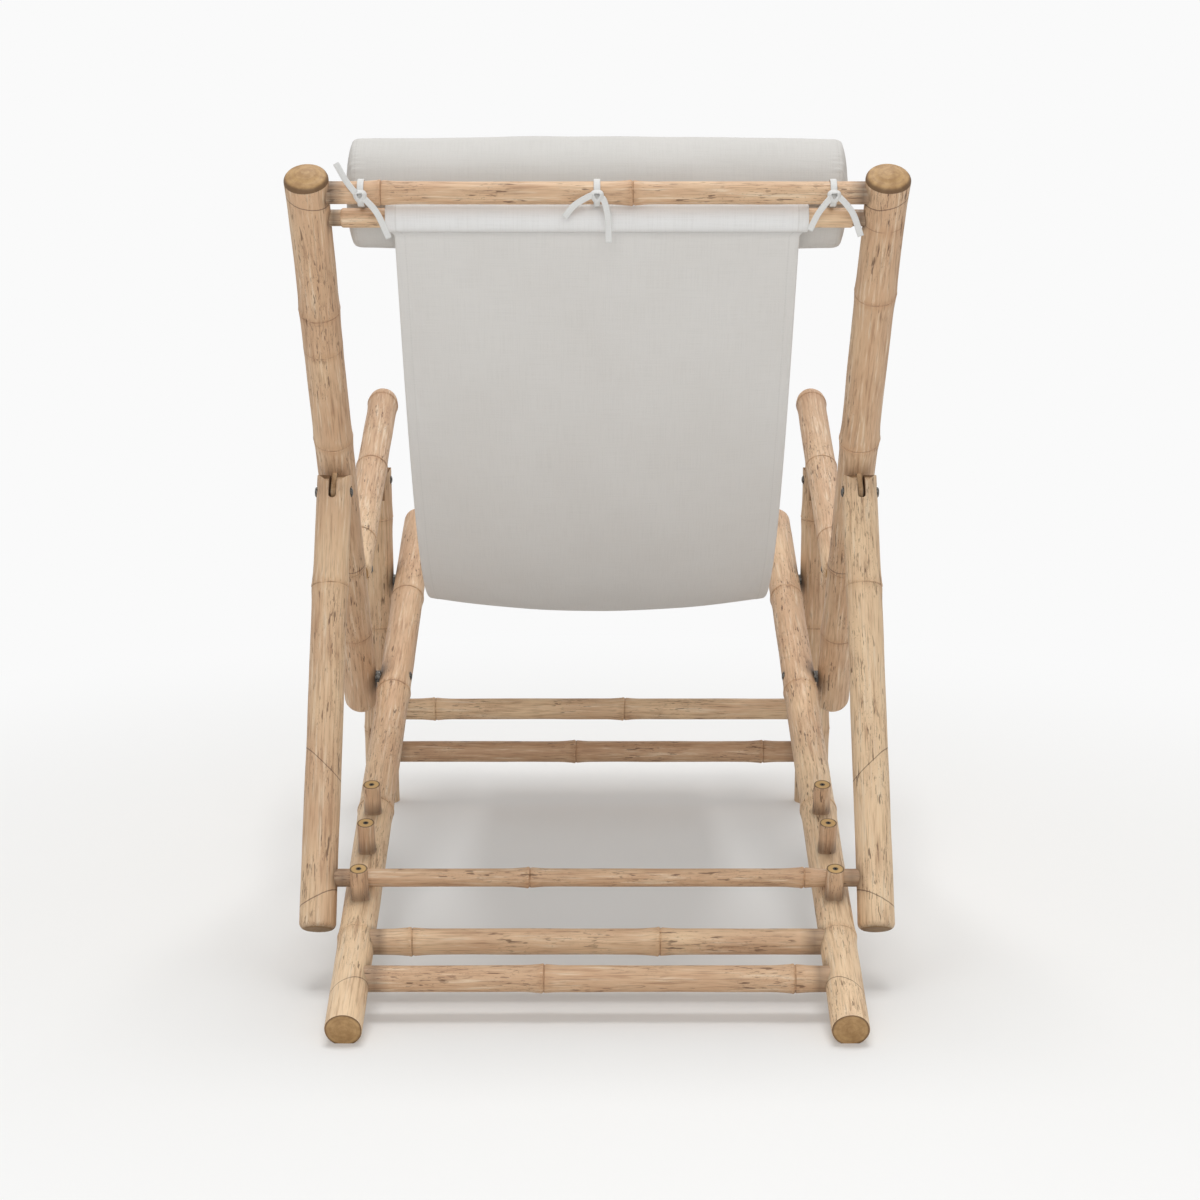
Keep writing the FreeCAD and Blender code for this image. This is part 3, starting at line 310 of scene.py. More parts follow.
# %% Bamboo skin
STRAW = colour(229, 199, 162)
TAN = colour(210, 178, 144)
ROSE = colour(203, 166, 132)
UMBER = colour(162, 122, 90)
DASH = colour(88, 62, 44)
RING_BROWN = colour(118, 86, 62)
PALE_WORN = colour(232, 212, 184)
# a dark brown for shade painted where pieces meet
SHADE_BROWN = colour(44, 32, 26)


def bamboo_skin():
    skin = Finish("bamboo_skin", 0.55)
    place = skin.attribute("cane", "Vector")
    ring, tone, joint_shade = (skin.attribute(name) for name in ("ring", "tone", "joint_shade"))
    drift = skin.cloud(place, (16, 16, 7), 3.0)
    patch = skin.cloud(place, (70, 70, 22), 3.0, 0.6)
    fibre = skin.cloud(place, (620, 620, 26), 2.0, 0.6)
    streak = skin.cloud(place, (230, 230, 16), 3.0, 0.65)
    dashes = skin.cloud(place, (520, 520, 80), 2.0, 0.55)
    cuts = skin.cloud(place, (260, 260, 38), 2.0, 0.6)
    crowd = skin.cloud(place, (26, 26, 15))
    specks = skin.cloud(place, (700, 700, 420), 1.0)

    # the dark marks of the skin crowd together in places
    dash = dashes.ramp(0.6, 0.67) * crowd.ramp(0.42, 0.58)
    cut = cuts.ramp(0.635, 0.68) * crowd.ramp(0.41, 0.52)
    speck = specks.ramp(0.64, 0.72) * crowd.ramp(0.4, 0.6)
    marks = skin.maths("MAXIMUM", skin.maths("MAXIMUM", dash * 0.5, cut * 0.72), speck * 0.3)

    # rings and slanting scars, both a little uneven, in metres from their middle line
    wobble = (patch - 0.5) * 0.0016
    groove = abs(ring + wobble).ramp(0.001, 0.0001) * patch.ramp(0.36, 0.56)
    halo = abs(ring + wobble).ramp(0.011, 0.001)
    scar = 0.0
    for away in skin.parts(skin.attribute("scars", "Vector")):
        scar = skin.maths("MAXIMUM", scar, abs(away + wobble * 1.6).ramp(0.0011, 0.0002))

    body = skin.coats(STRAW,
                      ((drift + (tone - 0.5) * 0.35).ramp(0.3, 0.7), ROSE),
                      ((tone - 1.0).ramp(0.0, 1.0), UMBER),
                      (patch.ramp(0.38, 0.72) * 0.55, TAN),
                      (patch.ramp(0.56, 0.8) * 0.4, UMBER),
                      (streak.ramp(0.52, 0.72) * 0.6, UMBER),
                      (streak.ramp(0.48, 0.28) * 0.65, PALE_WORN),
                      (fibre.ramp(0.48, 0.76) * 0.42, RING_BROWN),
                      (marks, DASH),
                      (groove * 0.5, RING_BROWN))
    body = skin.blend(halo * 0.2, body, TAN, "MULTIPLY")
    # the last coat is shade painted where pieces meet
    body = skin.coats(body, (scar * (0.3 + 0.8 * streak), DASH), (joint_shade * (0.6 + 0.4 * patch), SHADE_BROWN))
    height = fibre * 0.3 + streak * 0.5 - marks * 1.2 - groove * 0.6 - scar * 0.6
    skin.wear(Base_Color=body, Roughness=0.5 + 0.18 * streak + 0.2 * marks,
              Normal=skin.relief(height, 0.0006, 0.6))
    return skin.material


def end_grain():
    grain = Finish("bamboo_end_grain", 0.6)
    place = grain.attribute("cane", "Vector")
    rim, pith, joint_shade = (grain.attribute(name) for name in ("rim", "pith", "joint_shade"))
    pores = grain.cloud(place, (800, 800, 60), 2.0, 0.6)
    rays = grain.cloud(place, (110, 110, 20), 3.0, 0.6)
    rings = (rim * 26.0 + rays * 4.0).sine()
    body = grain.coats(colour(186, 150, 102),
                       (rays.ramp(0.3, 0.7), colour(158, 122, 78)),
                       (rings.ramp(0.0, 1.0) * 0.2, colour(140, 104, 64)),
                       (pores.ramp(0.56, 0.82) * 0.3, colour(120, 88, 56)),
                       (pith * 0.6, colour(206, 168, 106)),
                       (rim.ramp(0.84, 0.97) * 0.75, colour(82, 56, 36)),
                       (rim.ramp(0.74, 0.88) * pith * 0.7, colour(58, 42, 28)),
                       # the black middle of a peg's end is painted shade in its pith hole
                       (rim.ramp(0.4, 0.2) * pith, colour(16, 11, 8)),
                       # the last coat is shade painted where pieces meet
                       (joint_shade * 0.7, SHADE_BROWN))
    grain.wear(Base_Color=body, Normal=grain.relief(pores * 0.7 + rings * 0.2, 0.0005, 0.5))
    return grain.material


def sawn_wood():
    sawn = Finish("sawn_cane", 0.7)
    place = sawn.attribute("cane", "Vector")
    lines = sawn.cloud(place, (600, 600, 22), 3.0, 0.6)
    broad = sawn.cloud(place, (90, 90, 12))
    # these browns are darker than the sawn wood itself, which paints the shade in slots and bolt seats
    body = sawn.coats(colour(150, 118, 84),
                      (broad.ramp(0.3, 0.7), colour(118, 88, 60)),
                      (lines.ramp(0.5, 0.8) * 0.5, colour(84, 60, 40)),
                      # the last coat is shade painted where pieces meet
                      (sawn.attribute("joint_shade") * 0.7, SHADE_BROWN))
    sawn.wear(Base_Color=body, Normal=sawn.relief(lines, 0.0004, 0.5))
    return sawn.material


BAMBOO = [bamboo_skin(), end_grain(), sawn_wood()]
SKIN, END_GRAIN, SAWN = range(3)
print("bamboo finishes", [m.name for m in BAMBOO])

# %% [markdown]
# ## The side view in numbers
# Every pole lies in an upright plane beside the canvas, so one side view places all of them. A point
# is found by walking along a pole and stepping off it, just as a maker would mark it out, in
# millimetres from the rail's foot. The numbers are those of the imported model.

# %% Points and directions
FOOT_TO_MIDDLE, FOOT_HEIGHT = 568.0, 16.0
RAIL_X, OUTER_X = 260.0, 306.0
RAIL_SLOPE, BACK_ANGLE, LEG_ANGLE = 18.0, 126.8, 94.7
SIDES = (("left", 1), ("right", -1))

BACK_PIVOT_ALONG, LEG_PIVOT_ALONG, PIVOT_STAGGER = 723.0, 1013.0, 5.0
PEG_PLACES = (210.0, 301.0, 381.5)
CRANK_LENGTH = 142.7
ARM_STEP_DOWN, ARM_PIN_OFF, ARM_TAIL, ARM_REACH = 30.0, 8.0, 25.0, 173.0
STRUT_TAIL, BACK_TAIL, LEG_TRIM = 58.0, 54.0, 2.5


def toward(angle):
    """The direction of a pole, its angle measured up from forward."""
    return Vector((0.0, -math.cos(math.radians(angle)), math.sin(math.radians(angle))))


def beside(angle):
    """Square to a pole, on its upper or rear side."""
    return Vector((0.0, math.sin(math.radians(angle)), math.cos(math.radians(angle))))


RAIL_FOOT = Vector((0.0, FOOT_TO_MIDDLE, FOOT_HEIGHT))


def rail_point(along, above=0.0):
    return RAIL_FOOT + toward(RAIL_SLOPE) * along + beside(RAIL_SLOPE) * above


BACK_PIVOT = rail_point(BACK_PIVOT_ALONG, PIVOT_STAGGER)
LEG_PIVOT = rail_point(LEG_PIVOT_ALONG, -PIVOT_STAGGER)
CRANK = toward(LEG_ANGLE) * CRANK_LENGTH
ARM_REAR_PIN = BACK_PIVOT + CRANK
ARM_FRONT_PIN = LEG_PIVOT + CRANK
STRUT_PIN = BACK_PIVOT + toward(BACK_ANGLE) * 372.0 + beside(BACK_ANGLE) * 43.5
HEAD_BAR = BACK_PIVOT + toward(BACK_ANGLE) * 770.0
SLING_HEAD_BAR = BACK_PIVOT + toward(BACK_ANGLE) * 737.0
SLING_FRONT_BAR = rail_point(1142.0)
FRONT_BAR = rail_point(1175.0)
REAR_BAR_HIGH, REAR_BAR_LOW = rail_point(153.0), rail_point(87.0)
STRUT_BAR = rail_point(230.2, 30.28)

pin_step = ARM_FRONT_PIN - ARM_REAR_PIN
ARM_ANGLE = math.degrees(math.atan2(pin_step.z, -pin_step.y)
                         + math.asin(ARM_STEP_DOWN / pin_step.length))
ARM_PIN_STEP = math.sqrt(pin_step.length ** 2 - ARM_STEP_DOWN ** 2)
ARM_START = ARM_REAR_PIN + beside(ARM_ANGLE) * ARM_PIN_OFF - toward(ARM_ANGLE) * ARM_TAIL
ARM_LENGTH = ARM_TAIL + ARM_PIN_STEP + ARM_REACH

strut_line = STRUT_PIN - STRUT_BAR
STRUT_ANGLE = math.degrees(math.atan2(strut_line.z, -strut_line.y))
STRUT_START = STRUT_BAR - toward(STRUT_ANGLE) * STRUT_TAIL
STRUT_PIN_ALONG = strut_line.length + STRUT_TAIL

LEG_REACH = LEG_PIVOT.z / toward(LEG_ANGLE).z + LEG_TRIM
LEG_START = LEG_PIVOT - toward(LEG_ANGLE) * LEG_REACH
LEG_PIN_ALONG = LEG_REACH + CRANK_LENGTH
BACK_START = BACK_PIVOT - toward(BACK_ANGLE) * BACK_TAIL
print("armrest angle", round(ARM_ANGLE, 2), "strut angle", round(STRUT_ANGLE, 2))


def leg_bar_at(height):
    return LEG_START + toward(LEG_ANGLE) * ((height - LEG_START.z) / toward(LEG_ANGLE).z)


LEG_BAR_HIGH, LEG_BAR_LOW = leg_bar_at(136.0), leg_bar_at(73.0)


def pole_frame(start, angle, x):
    """From a cane's own frame, which runs up +Z from its lower end, to the chair."""
    return Matrix.Translation((x, start.y, start.z)) @ Matrix.Rotation(math.radians(90 - angle), 4, "X")


def bar_frame(centre, half):
    """The same for a bar across the chair, which runs along +X from its right end."""
    return Matrix.Translation((-half, centre.y, centre.z)) @ Matrix.Rotation(math.radians(90), 4, "Y")


# %% [markdown]
# ## Growing a cane
# A bamboo cane isn't a cylinder. It thickens a little towards each ring, has a sharp groove where the
# leaf sheath sat and a low ridge beside it, and is never quite round or quite straight. The mesh is
# swept: circles of points are placed along the cane, close together near the rings, and each gets the
# radius of the profile there. Sawn ends are closed with smaller circles, so that the end grain has
# faces of its own.

# %% Profile of a cane
AROUND = 48
STATION_GAP = 16.0
CURL_STEPS = 6
# how far below a ring's ridge its groove lies
GROOVE_BELOW = 2.2
RING_CLEAR, RING_REACH = 27.0, 40.0
SWELL_SHARE = 0.03
# where the circles round a ring are placed, measured from the ring
RING_STEPS = (-26, -19, -13, -9, -6, -4.4, -3.4, -2.7, -2.2, -1.7,
              -1.0, -0.3, 0.4, 1.2, 2.2, 4, 7, 11, 17, 24)


def bell(x, width):
    return math.exp(-(x / width) ** 2)


def ring_shape(away, rise):
    """How far the skin stands out, at a distance from a ring."""
    swelling = rise * bell(away, 13.0)
    ridge = 0.45 * rise * bell(away - 0.4, 1.5)
    groove = -0.75 * rise * bell(away + GROOVE_BELOW, 0.7)
    return swelling + ridge + groove


class Cane:
    """What the sweep needs to know about one cane, in millimetres."""

    def __init__(self, name, matrix, length, low_radius, high_radius, rings=(), rise=1.1,
                 low_round=0.8, high_round=0.8, lean=0.5, tones=(0.5,), flare=0.0):
        self.name = name
        self.matrix = matrix
        self.length = length
        self.low_radius = low_radius
        self.high_radius = high_radius
        self.rings = [ring if isinstance(ring, tuple) else (ring, rise) for ring in rings]
        self.low_round = low_round
        self.high_round = high_round
        self.lean = lean
        self.tones = tones
        self.flare = flare
        self.swell = SWELL_SHARE * min(low_radius, high_radius)
        self.dice = random.Random(name)
        self.phase = self.dice.uniform(0, 6.28)

    def taper(self, z):
        widening = self.flare * bell(self.length - z, 32.0)
        return self.low_radius + (self.high_radius - self.low_radius) * z / self.length + widening

    def stations(self):
        """Heights of the circles between the rounded ends, close together near the rings."""
        low, high = self.low_round, self.length - self.high_round
        count = max(2, int((high - low) / STATION_GAP))
        places = {low, high} | {low + (high - low) * k / count for k in range(count + 1)}
        for ring, rise in self.rings:
            places = {z for z in places if abs(z - ring) > RING_CLEAR or z in (low, high)}
            places.update(ring + step for step in RING_STEPS if low < ring + step < high)
        return sorted(places)

    def circles(self):
        """Height and radius of every circle of the sweep, from the lower end to the upper."""
        turns = [math.radians(90 / CURL_STEPS * k) for k in range(1, CURL_STEPS + 1)]
        made = [(self.low_round * (1 - math.sin(turn)),
                 self.low_radius - self.low_round * (1 - math.cos(turn))) for turn in reversed(turns)]
        made += [(z, self.taper(z)) for z in self.stations()]
        return made + [(self.length - self.high_round * (1 - math.sin(turn)),
                        self.taper(self.length) - self.high_round * (1 - math.cos(turn)))
                       for turn in turns]


# %% Sweep a cane into a mesh
DISC_SHARES = (0.86, 0.68, 0.48, 0.28, 0.12)


def skin_over(shape, loops, closed=True):
    """Joins each loop of points to the next and closes both ends. A loop may be a single point."""
    for lower, upper in zip(loops, loops[1:]):
        for k in range(max(len(lower), len(upper))):
            corners = ((lower, k), (lower, k + 1), (upper, k + 1), (upper, k))
            shape.faces.new(list(dict.fromkeys(row[place % len(row)] for row, place in corners)))
    if closed:
        shape.faces.new(list(reversed(loops[0])))
        shape.faces.new(loops[-1])


def facing_out(shape):
    bmesh.ops.recalc_face_normals(shape, faces=shape.faces)
    return shape


def skin_radius(cane, z, radius, turn):
    """A cane is never quite round, and swells at its rings."""
    out = radius * (1 + 0.005 * math.sin(2 * turn + cane.phase) + 0.003 * math.sin(3 * turn))
    out += cane.swell * noise.noise(Vector((z / 60.0 + cane.phase, math.cos(turn), math.sin(turn))))
    for ring, rise in cane.rings:
        away = z - ring - 0.05 * radius * math.cos(turn + cane.phase + ring)
        if abs(away) < RING_REACH and cane.low_round < z < cane.length - cane.high_round:
            out += ring_shape(away, rise)
    return out


def end_discs(body, loop, sign, bulge, pith):
    """Smaller and smaller circles that close an end, and the sides of its pith hole."""
    height = loop[0].co.z
    rows = []
    for share in DISC_SHARES:
        up = height + sign * bulge * (1 - share ** 2)
        if pith and share == DISC_SHARES[-1]:
            up = height
        rows.append([body.verts.new((v.co.x * share, v.co.y * share, up)) for v in loop])
    if pith and sign > 0:
        rows.append([body.verts.new((v.co.x, v.co.y, height - pith)) for v in rows[-1]])
    return rows


def swept(cane, high_bulge=0.0, pith=0.0):
    """The cane's closed mesh in its own frame, in millimetres."""
    body = bmesh.new()
    loops = []
    for z, radius in cane.circles():
        share = z / cane.length
        mid = cane.lean * (math.sin(math.pi * share) + 0.35 * math.sin(3.7 * math.pi * share))
        loop = []
        for k in range(AROUND):
            turn = 2 * math.pi * k / AROUND
            out = skin_radius(cane, z, radius, turn)
            loop.append(body.verts.new((out * math.cos(turn) + mid * math.cos(cane.phase),
                                        out * math.sin(turn) + mid * math.sin(cane.phase), z)))
        loops.append(loop)
    below = end_discs(body, loops[0], -1, 0.0, pith)
    above = end_discs(body, loops[-1], 1, high_bulge, pith)
    skin_over(body, below[::-1] + loops + above)
    return facing_out(body)


# %% Blocks that cut a cane
WIDE = 40.0
FORK_GAP, FORK_DEPTH = 9.0, 14.0
SEAT_RADIUS = 7.6


def prism(axis, outline, low, high):
    """A closed block: an outline square to X or Y, drawn out between two distances along it."""
    block = bmesh.new()
    skin_over(block, [[block.verts.new((reach, a, b) if axis == "X" else (a, reach, b))
                       for a, b in outline] for reach in (low, high)])
    return facing_out(block)


def arc(middle, radius, start, end, steps):
    """Points of an arc about a middle, between two angles in degrees."""
    turns = [math.radians(start + (end - start) * k / steps) for k in range(steps + 1)]
    return [(middle[0] + radius * math.cos(turn), middle[1] + radius * math.sin(turn)) for turn in turns]


def end_round(radius, pin):
    """Takes away what lies beyond a pin and outside a radius from it."""
    top = pin + radius + 12.0
    outline = arc((0.0, pin), radius, 0, 180, 24)
    return prism("X", outline + [(-WIDE, pin), (-WIDE, top), (WIDE, top), (WIDE, pin)], -WIDE, WIDE)


def fork_slot(pin, end, upward=True):
    """The slot between a fork's cheeks, with its round bottom."""
    half = FORK_GAP / 2
    sign = 1 if upward else -1
    bottom = pin - sign * (FORK_DEPTH - half)
    start = 180 if upward else 0
    outline = arc((0.0, bottom), half, start, start + 180, 12)
    return prism("Y", outline + [(sign * half, end), (-sign * half, end)], -WIDE, WIDE)


def bolt_seat(side, distance, y, z):
    """A flat seat for a bolt's head or nut, sunk into the side of a cane."""
    low, high = sorted((side * distance, side * WIDE))
    return prism("X", arc((y, z), SEAT_RADIUS, 0, 345, 23), low, high)


def pared(front, depth, low, high):
    """A flat pared on the front or rear of a fork's cheeks."""
    near, far = sorted((front * depth, front * WIDE))
    return prism("X", [(near, low), (far, low), (far, high), (near, high)], -WIDE, WIDE)


def carved(body, cuts):
    """Cuts blocks out of a swept cane, one after the other, and gives the new shape."""
    piece = new_object("cane_blank", new_mesh("cane_blank", body))
    spent = [piece.data]
    for cut in cuts:
        tool = new_object("cane_cutter", new_mesh("cane_cutter", cut))
        taking = piece.modifiers.new("cut", "BOOLEAN")
        taking.operation = "DIFFERENCE"
        taking.solver = "EXACT"
        taking.object = tool
        spent += [work_in(piece, taking), tool.data]
        bpy.data.objects.remove(tool)
    shape = bmesh.new()
    shape.from_mesh(piece.data)
    bpy.data.objects.remove(piece)
    for mesh in spent:
        bpy.data.meshes.remove(mesh)
    return shape


# %% [markdown]
# ## From a carved cane to a finished piece
# The finishes need to know where they are on the cane, so each point keeps its place in the cane's own
# frame, its distance from the nearest ring's groove and from slanting sheath scars, and how far out
# from the pith it lies. A tone that may change along the cane makes it paler or browner than its
# neighbours. Where two pieces meet, shade is painted into the wood, so each point also gets the
# painted shade of the nearest joint. Faces across the fibres get end grain, and faces in a slot sawn wood.

# %% Painted shade where pieces meet
RAIL_INSIDE, RAIL_OUTSIDE, POLE_INSIDE = RAIL_X - 21.0, RAIL_X + 22.0, OUTER_X - 22.0
# distance from the middle plane, centre, dark within, fading over, strength, for each spot of painted
# shade
JOINT_SHADE_SPOTS = [
    (RAIL_INSIDE, REAR_BAR_LOW, 14.0, 8.0, 0.75),
    (RAIL_INSIDE, REAR_BAR_HIGH, 14.0, 8.0, 0.75),
    (RAIL_INSIDE, FRONT_BAR, 11.0, 6.0, 0.8),
    (RAIL_INSIDE, SLING_FRONT_BAR, 9.0, 6.0, 0.8),
    (POLE_INSIDE, HEAD_BAR, 12.0, 7.0, 1.0),
    (POLE_INSIDE, SLING_HEAD_BAR, 9.0, 7.0, 1.0),
    (OUTER_X - 20.0, STRUT_BAR, 9.0, 12.0, 1.0),
    (OUTER_X, STRUT_START, 17.0, 6.0, 0.6),
    (POLE_INSIDE, LEG_BAR_HIGH, 14.0, 6.0, 0.8),
    (POLE_INSIDE, LEG_BAR_LOW, 14.0, 6.0, 0.8),
    (RAIL_OUTSIDE, BACK_PIVOT, 10.0, 24.0, 1.0),
    (RAIL_OUTSIDE, LEG_PIVOT, 10.0, 24.0, 1.0),
    (OUTER_X, ARM_REAR_PIN, 15.0, 12.0, 0.7),
    (OUTER_X, ARM_FRONT_PIN, 15.0, 12.0, 0.7),
    (OUTER_X, STRUT_PIN, 15.0, 10.0, 0.55),
]
JOINT_SHADE_SPOTS += [(RAIL_X, rail_point(along, 20.0), 9.5, 7.0, 0.9) for along in PEG_PLACES]


def joint_shade_at(points):
    """How much painted shade each point gets, from 0 to 1, for an array of points in millimetres."""
    dark = np.zeros(len(points))
    for x, centre, reach, fade, strength in JOINT_SHADE_SPOTS:
        for side in (1, -1):
            away = np.linalg.norm(points - np.array((side * x, centre.y, centre.z)), axis=1)
            share = np.clip(1.0 - (away - reach) / fade, 0.0, 1.0)
            dark = np.maximum(dark, strength * share * share)
    return dark


# %% Finish a cane
SCAR_FAR = 0.05
CANE_CREASE = 34
PEG_SLOT = "peg_bamboo"


def set_points(mesh, name, kind, values):
    data = mesh.attributes.new(name, kind, "POINT").data
    data.foreach_set("vector" if kind == "FLOAT_VECTOR" else "value", values)


def keep_creases(shape, degrees):
    """Smooth faces, with sharp edges where they meet at more than an angle."""
    for face in shape.faces:
        face.smooth = True
    for edge in shape.edges:
        edge.smooth = len(edge.link_faces) == 2 and edge.calc_face_angle() < math.radians(degrees)


def trim_at_floor(cane, shape):
    """Saws the cane off flat where it stands on the floor."""
    under = cane.matrix.inverted()
    cut = bmesh.ops.bisect_plane(shape, geom=shape.verts[:] + shape.edges[:] + shape.faces[:],
                                 dist=1e-4, plane_co=under @ Vector((0.0, 0.0, 0.0)),
                                 plane_no=under.to_3x3() @ Vector((0.0, 0.0, 1.0)), clear_inner=True)
    rim = [e for e in cut["geom_cut"] if isinstance(e, bmesh.types.BMEdge) and e.is_boundary]
    bmesh.ops.edgeloop_fill(shape, edges=rim)


def face_finish(cane, face, is_peg, grain_dome):
    """Which of the three bamboo finishes a face of a carved cane gets."""
    middle = face.calc_center_median()
    out = math.hypot(middle.x, middle.y) / cane.taper(middle.z)
    at_end = middle.z < cane.low_round + 0.1 or middle.z > cane.length - cane.high_round - 0.1
    in_dome = middle.z > cane.length - grain_dome or middle.z < 0.05
    in_pith = is_peg and out < 0.2
    if abs(face.normal.z) > 0.9 and at_end or (grain_dome and in_dome) or in_pith:
        return END_GRAIN
    return SAWN if out < 0.93 and not at_end else SKIN


def mark_points(cane, mesh, is_peg, scars):
    """Gives every point of a cane what the finishes ask for, but for the painted shade at the joints."""
    shift = cane.dice.uniform(0, 40)
    places, rings, rims, scar_rows = [], [], [], []
    for x, y, z in (vertex.co for vertex in mesh.vertices):
        places += [x * MM, y * MM, z * MM + shift]
        near = min((abs(z - ring + GROOVE_BELOW) for ring, rise in cane.rings), default=50.0)
        rings.append(min(near, 30.0) * MM)
        rims.append(min(1.0, math.hypot(x, y) / cane.taper(z)))
        row = [max(-SCAR_FAR, min(SCAR_FAR, (z - height - slope * x) * MM)) for height, slope in scars]
        scar_rows += row + [SCAR_FAR] * (3 - len(row))
    heights = [vertex.co.z / cane.length for vertex in mesh.vertices]
    tones = np.interp(heights, np.linspace(0.0, 1.0, len(cane.tones)), cane.tones)
    for name, values in (("cane", places), ("scars", scar_rows)):
        set_points(mesh, name, "FLOAT_VECTOR", values)
    for name, values in (("ring", rings), ("rim", rims), ("tone", tones.tolist()),
                         ("pith", [float(is_peg)] * len(mesh.vertices))):
        set_points(mesh, name, "FLOAT", values)


def cane_piece(cane, shape, node, body, slot="bamboo", scars=(), grain_dome=0.0, ground=False):
    """Colours, places and mounts a cane. Scars are (height, rise per millimetre of width)."""
    if ground:
        trim_at_floor(cane, shape)
    shape.normal_update()
    is_peg = slot == PEG_SLOT
    for face in shape.faces:
        face.material_index = face_finish(cane, face, is_peg, grain_dome)
    keep_creases(shape, CANE_CREASE)
    mesh = new_mesh(cane.name, shape)
    mark_points(cane, mesh, is_peg, scars)
    mesh.transform(cane.matrix)
    # how much shade is painted near the joints
    set_points(mesh, "joint_shade", "FLOAT", joint_shade_at(coordinates(mesh)).tolist())
    mesh.transform(Matrix.Scale(MM, 4))
    for finish in BAMBOO:
        mesh.materials.append(finish)
    piece = new_object(cane.name, mesh)
    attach(piece, body)
    if node:
        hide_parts(node)


# %% [markdown]
# ## The rails
# Two long canes slope from the floor behind the chair up to the front of the seat. Their rear ends are
# trimmed flat where they stand on the floor, and their front ends are rounded over for the knees.

# %% Rails and pegs
RAIL_LENGTH = 1197.0
RAIL_RINGS = (157.0, 412.0, 688.0, 946.0)
PEG_HEIGHT, PEG_RADIUS, PEG_ROOT = 50.0, 9.9, 6.0
for word, side in SIDES:
    rail = Cane("rail_cane_" + word, pole_frame(RAIL_FOOT, RAIL_SLOPE, side * RAIL_X), RAIL_LENGTH,
                19.6, 21.6, RAIL_RINGS, high_round=12.0, lean=0.4, tones=(-0.9, -0.3, 0.9, 1.0, 0.7))
    cuts = [bolt_seat(-side, 18.6, PIVOT_STAGGER, BACK_PIVOT_ALONG),
            bolt_seat(-side, 19.0, -PIVOT_STAGGER, LEG_PIVOT_ALONG)]
    cane_piece(rail, carved(swept(rail, high_bulge=1.0), cuts), "rail_" + word, "seat_frame",
               scars=((62.0, -side * 0.55),), grain_dome=3.0, ground=True)
    for number, along in enumerate(PEG_PLACES, start=1):
        frame_up = pole_frame(rail_point(along, PEG_ROOT), 90 + RAIL_SLOPE, side * RAIL_X)
        peg = Cane("peg_%s_%d_cane" % (word, number), frame_up, PEG_HEIGHT, PEG_RADIUS, PEG_RADIUS,
                   lean=0.0, high_round=0.6, tones=(1.0, 1.15))
        cane_piece(peg, swept(peg, pith=3.0), "peg_%s_%d" % (word, number), "seat_frame", slot=PEG_SLOT)
print("rails", len(SIDES), "pegs", len(SIDES) * len(PEG_PLACES))

# %% [markdown]
# ## The bars
# Round bars join the two sides. Each is a thinner cane let into blind holes, with a ring or two where
# the picture shows them.

# %% Bars across the chair
BAR_INSET = 9.0
BAR_RING_RISE = 1.3
# name, body, centre, half spacing of its poles, radius, tone, rings from the middle
BARS = (
    ("head_bar", "back_frame", HEAD_BAR, OUTER_X, 12.0, 0.8, (230.0, -36.0)),
    ("rear_rail_bar_high", "seat_frame", REAR_BAR_HIGH, RAIL_X, 14.0, 0.7, (201.0, -66.0)),
    ("rear_rail_bar_low", "seat_frame", REAR_BAR_LOW, RAIL_X, 14.0, 1.05, (58.0, -207.0)),
    ("front_rail_bar", "seat_frame", FRONT_BAR, RAIL_X, 12.0, 0.5, (150.0, -116.0)),
    ("strut_bar", "strut_frame", STRUT_BAR, OUTER_X, 10.0, 1.05, (76.0, -226.0)),
    ("leg_bar_high", "leg_frame", LEG_BAR_HIGH, OUTER_X, 14.8, 0.4, (230.0, -37.0)),
    ("leg_bar_low", "leg_frame", LEG_BAR_LOW, OUTER_X, 14.8, 1.4, (32.0, -234.0)),
)
for name, body, centre, spacing, radius, tone, rings in BARS:
    half = spacing - BAR_INSET
    bar = Cane(name + "_cane", bar_frame(centre, half), 2 * half, radius, radius,
               [(half + x, BAR_RING_RISE) for x in rings], lean=0.25, tones=(tone,))
    cane_piece(bar, swept(bar), name, body)

# the sling's bars have thinner tenons, which run through as one piece
SHOULDER = 24.0
ROD_RADIUS, TENON_RADIUS = 10.4, 8.8
SLING_BARS = (("sling_head_bar", "back_frame", SLING_HEAD_BAR, OUTER_X),
              ("sling_front_bar", "seat_frame", SLING_FRONT_BAR, RAIL_X))
for name, body, centre, spacing in SLING_BARS:
    half = spacing - BAR_INSET
    for part, reach, radius, ends, node in (("_rod", half - SHOULDER, ROD_RADIUS, 3.0, name),
                                            ("_tenons", half, TENON_RADIUS, 0.8, None)):
        cane = Cane(name + part, bar_frame(centre, reach), 2 * reach, radius, radius, low_round=ends,
                    high_round=ends, lean=0.0)
        cane_piece(cane, swept(cane), node, body)
print("bars", len(BARS) + len(SLING_BARS))

# %% [markdown]
# ## The poles that fold
# The back poles end in a domed cap of end grain above, and hang past their pivot below. Struts, front
# legs and armrests are forked, so that a thin tongue of the next piece can turn in the slot about a
# bolt. The fork is cut as a woodworker would: round the end, saw the slot, and sink the bolt's seats.

# %% Back poles, struts, legs and armrests
BACK_LENGTH = 847.0
BACK_RINGS = {
    "left": ((143.0, 1.0), (262.0, 0.5), (473.0, 0.9), (613.0, 0.25), (666.0, 0.8)),
    "right": ((143.0, 1.0), (262.0, 0.5), (473.0, 1.3), (690.0, 0.9), (790.0, 0.1)),
}
STRUT_TONES = {"left": (0.7, 0.6), "right": (-0.2, 0.4)}
STRUT_RADIUS, LEG_END, ARM_RADIUS = 20.2, 17.0, 20.3
PARED_LENGTH = 26.0
PAST_END = 5.0


def both_seats(side, distance, y, z):
    """Seats for a bolt's head, on the chair's outer side, and for its nut."""
    return [bolt_seat(side, distance, y, z), bolt_seat(-side, distance, y, z)]


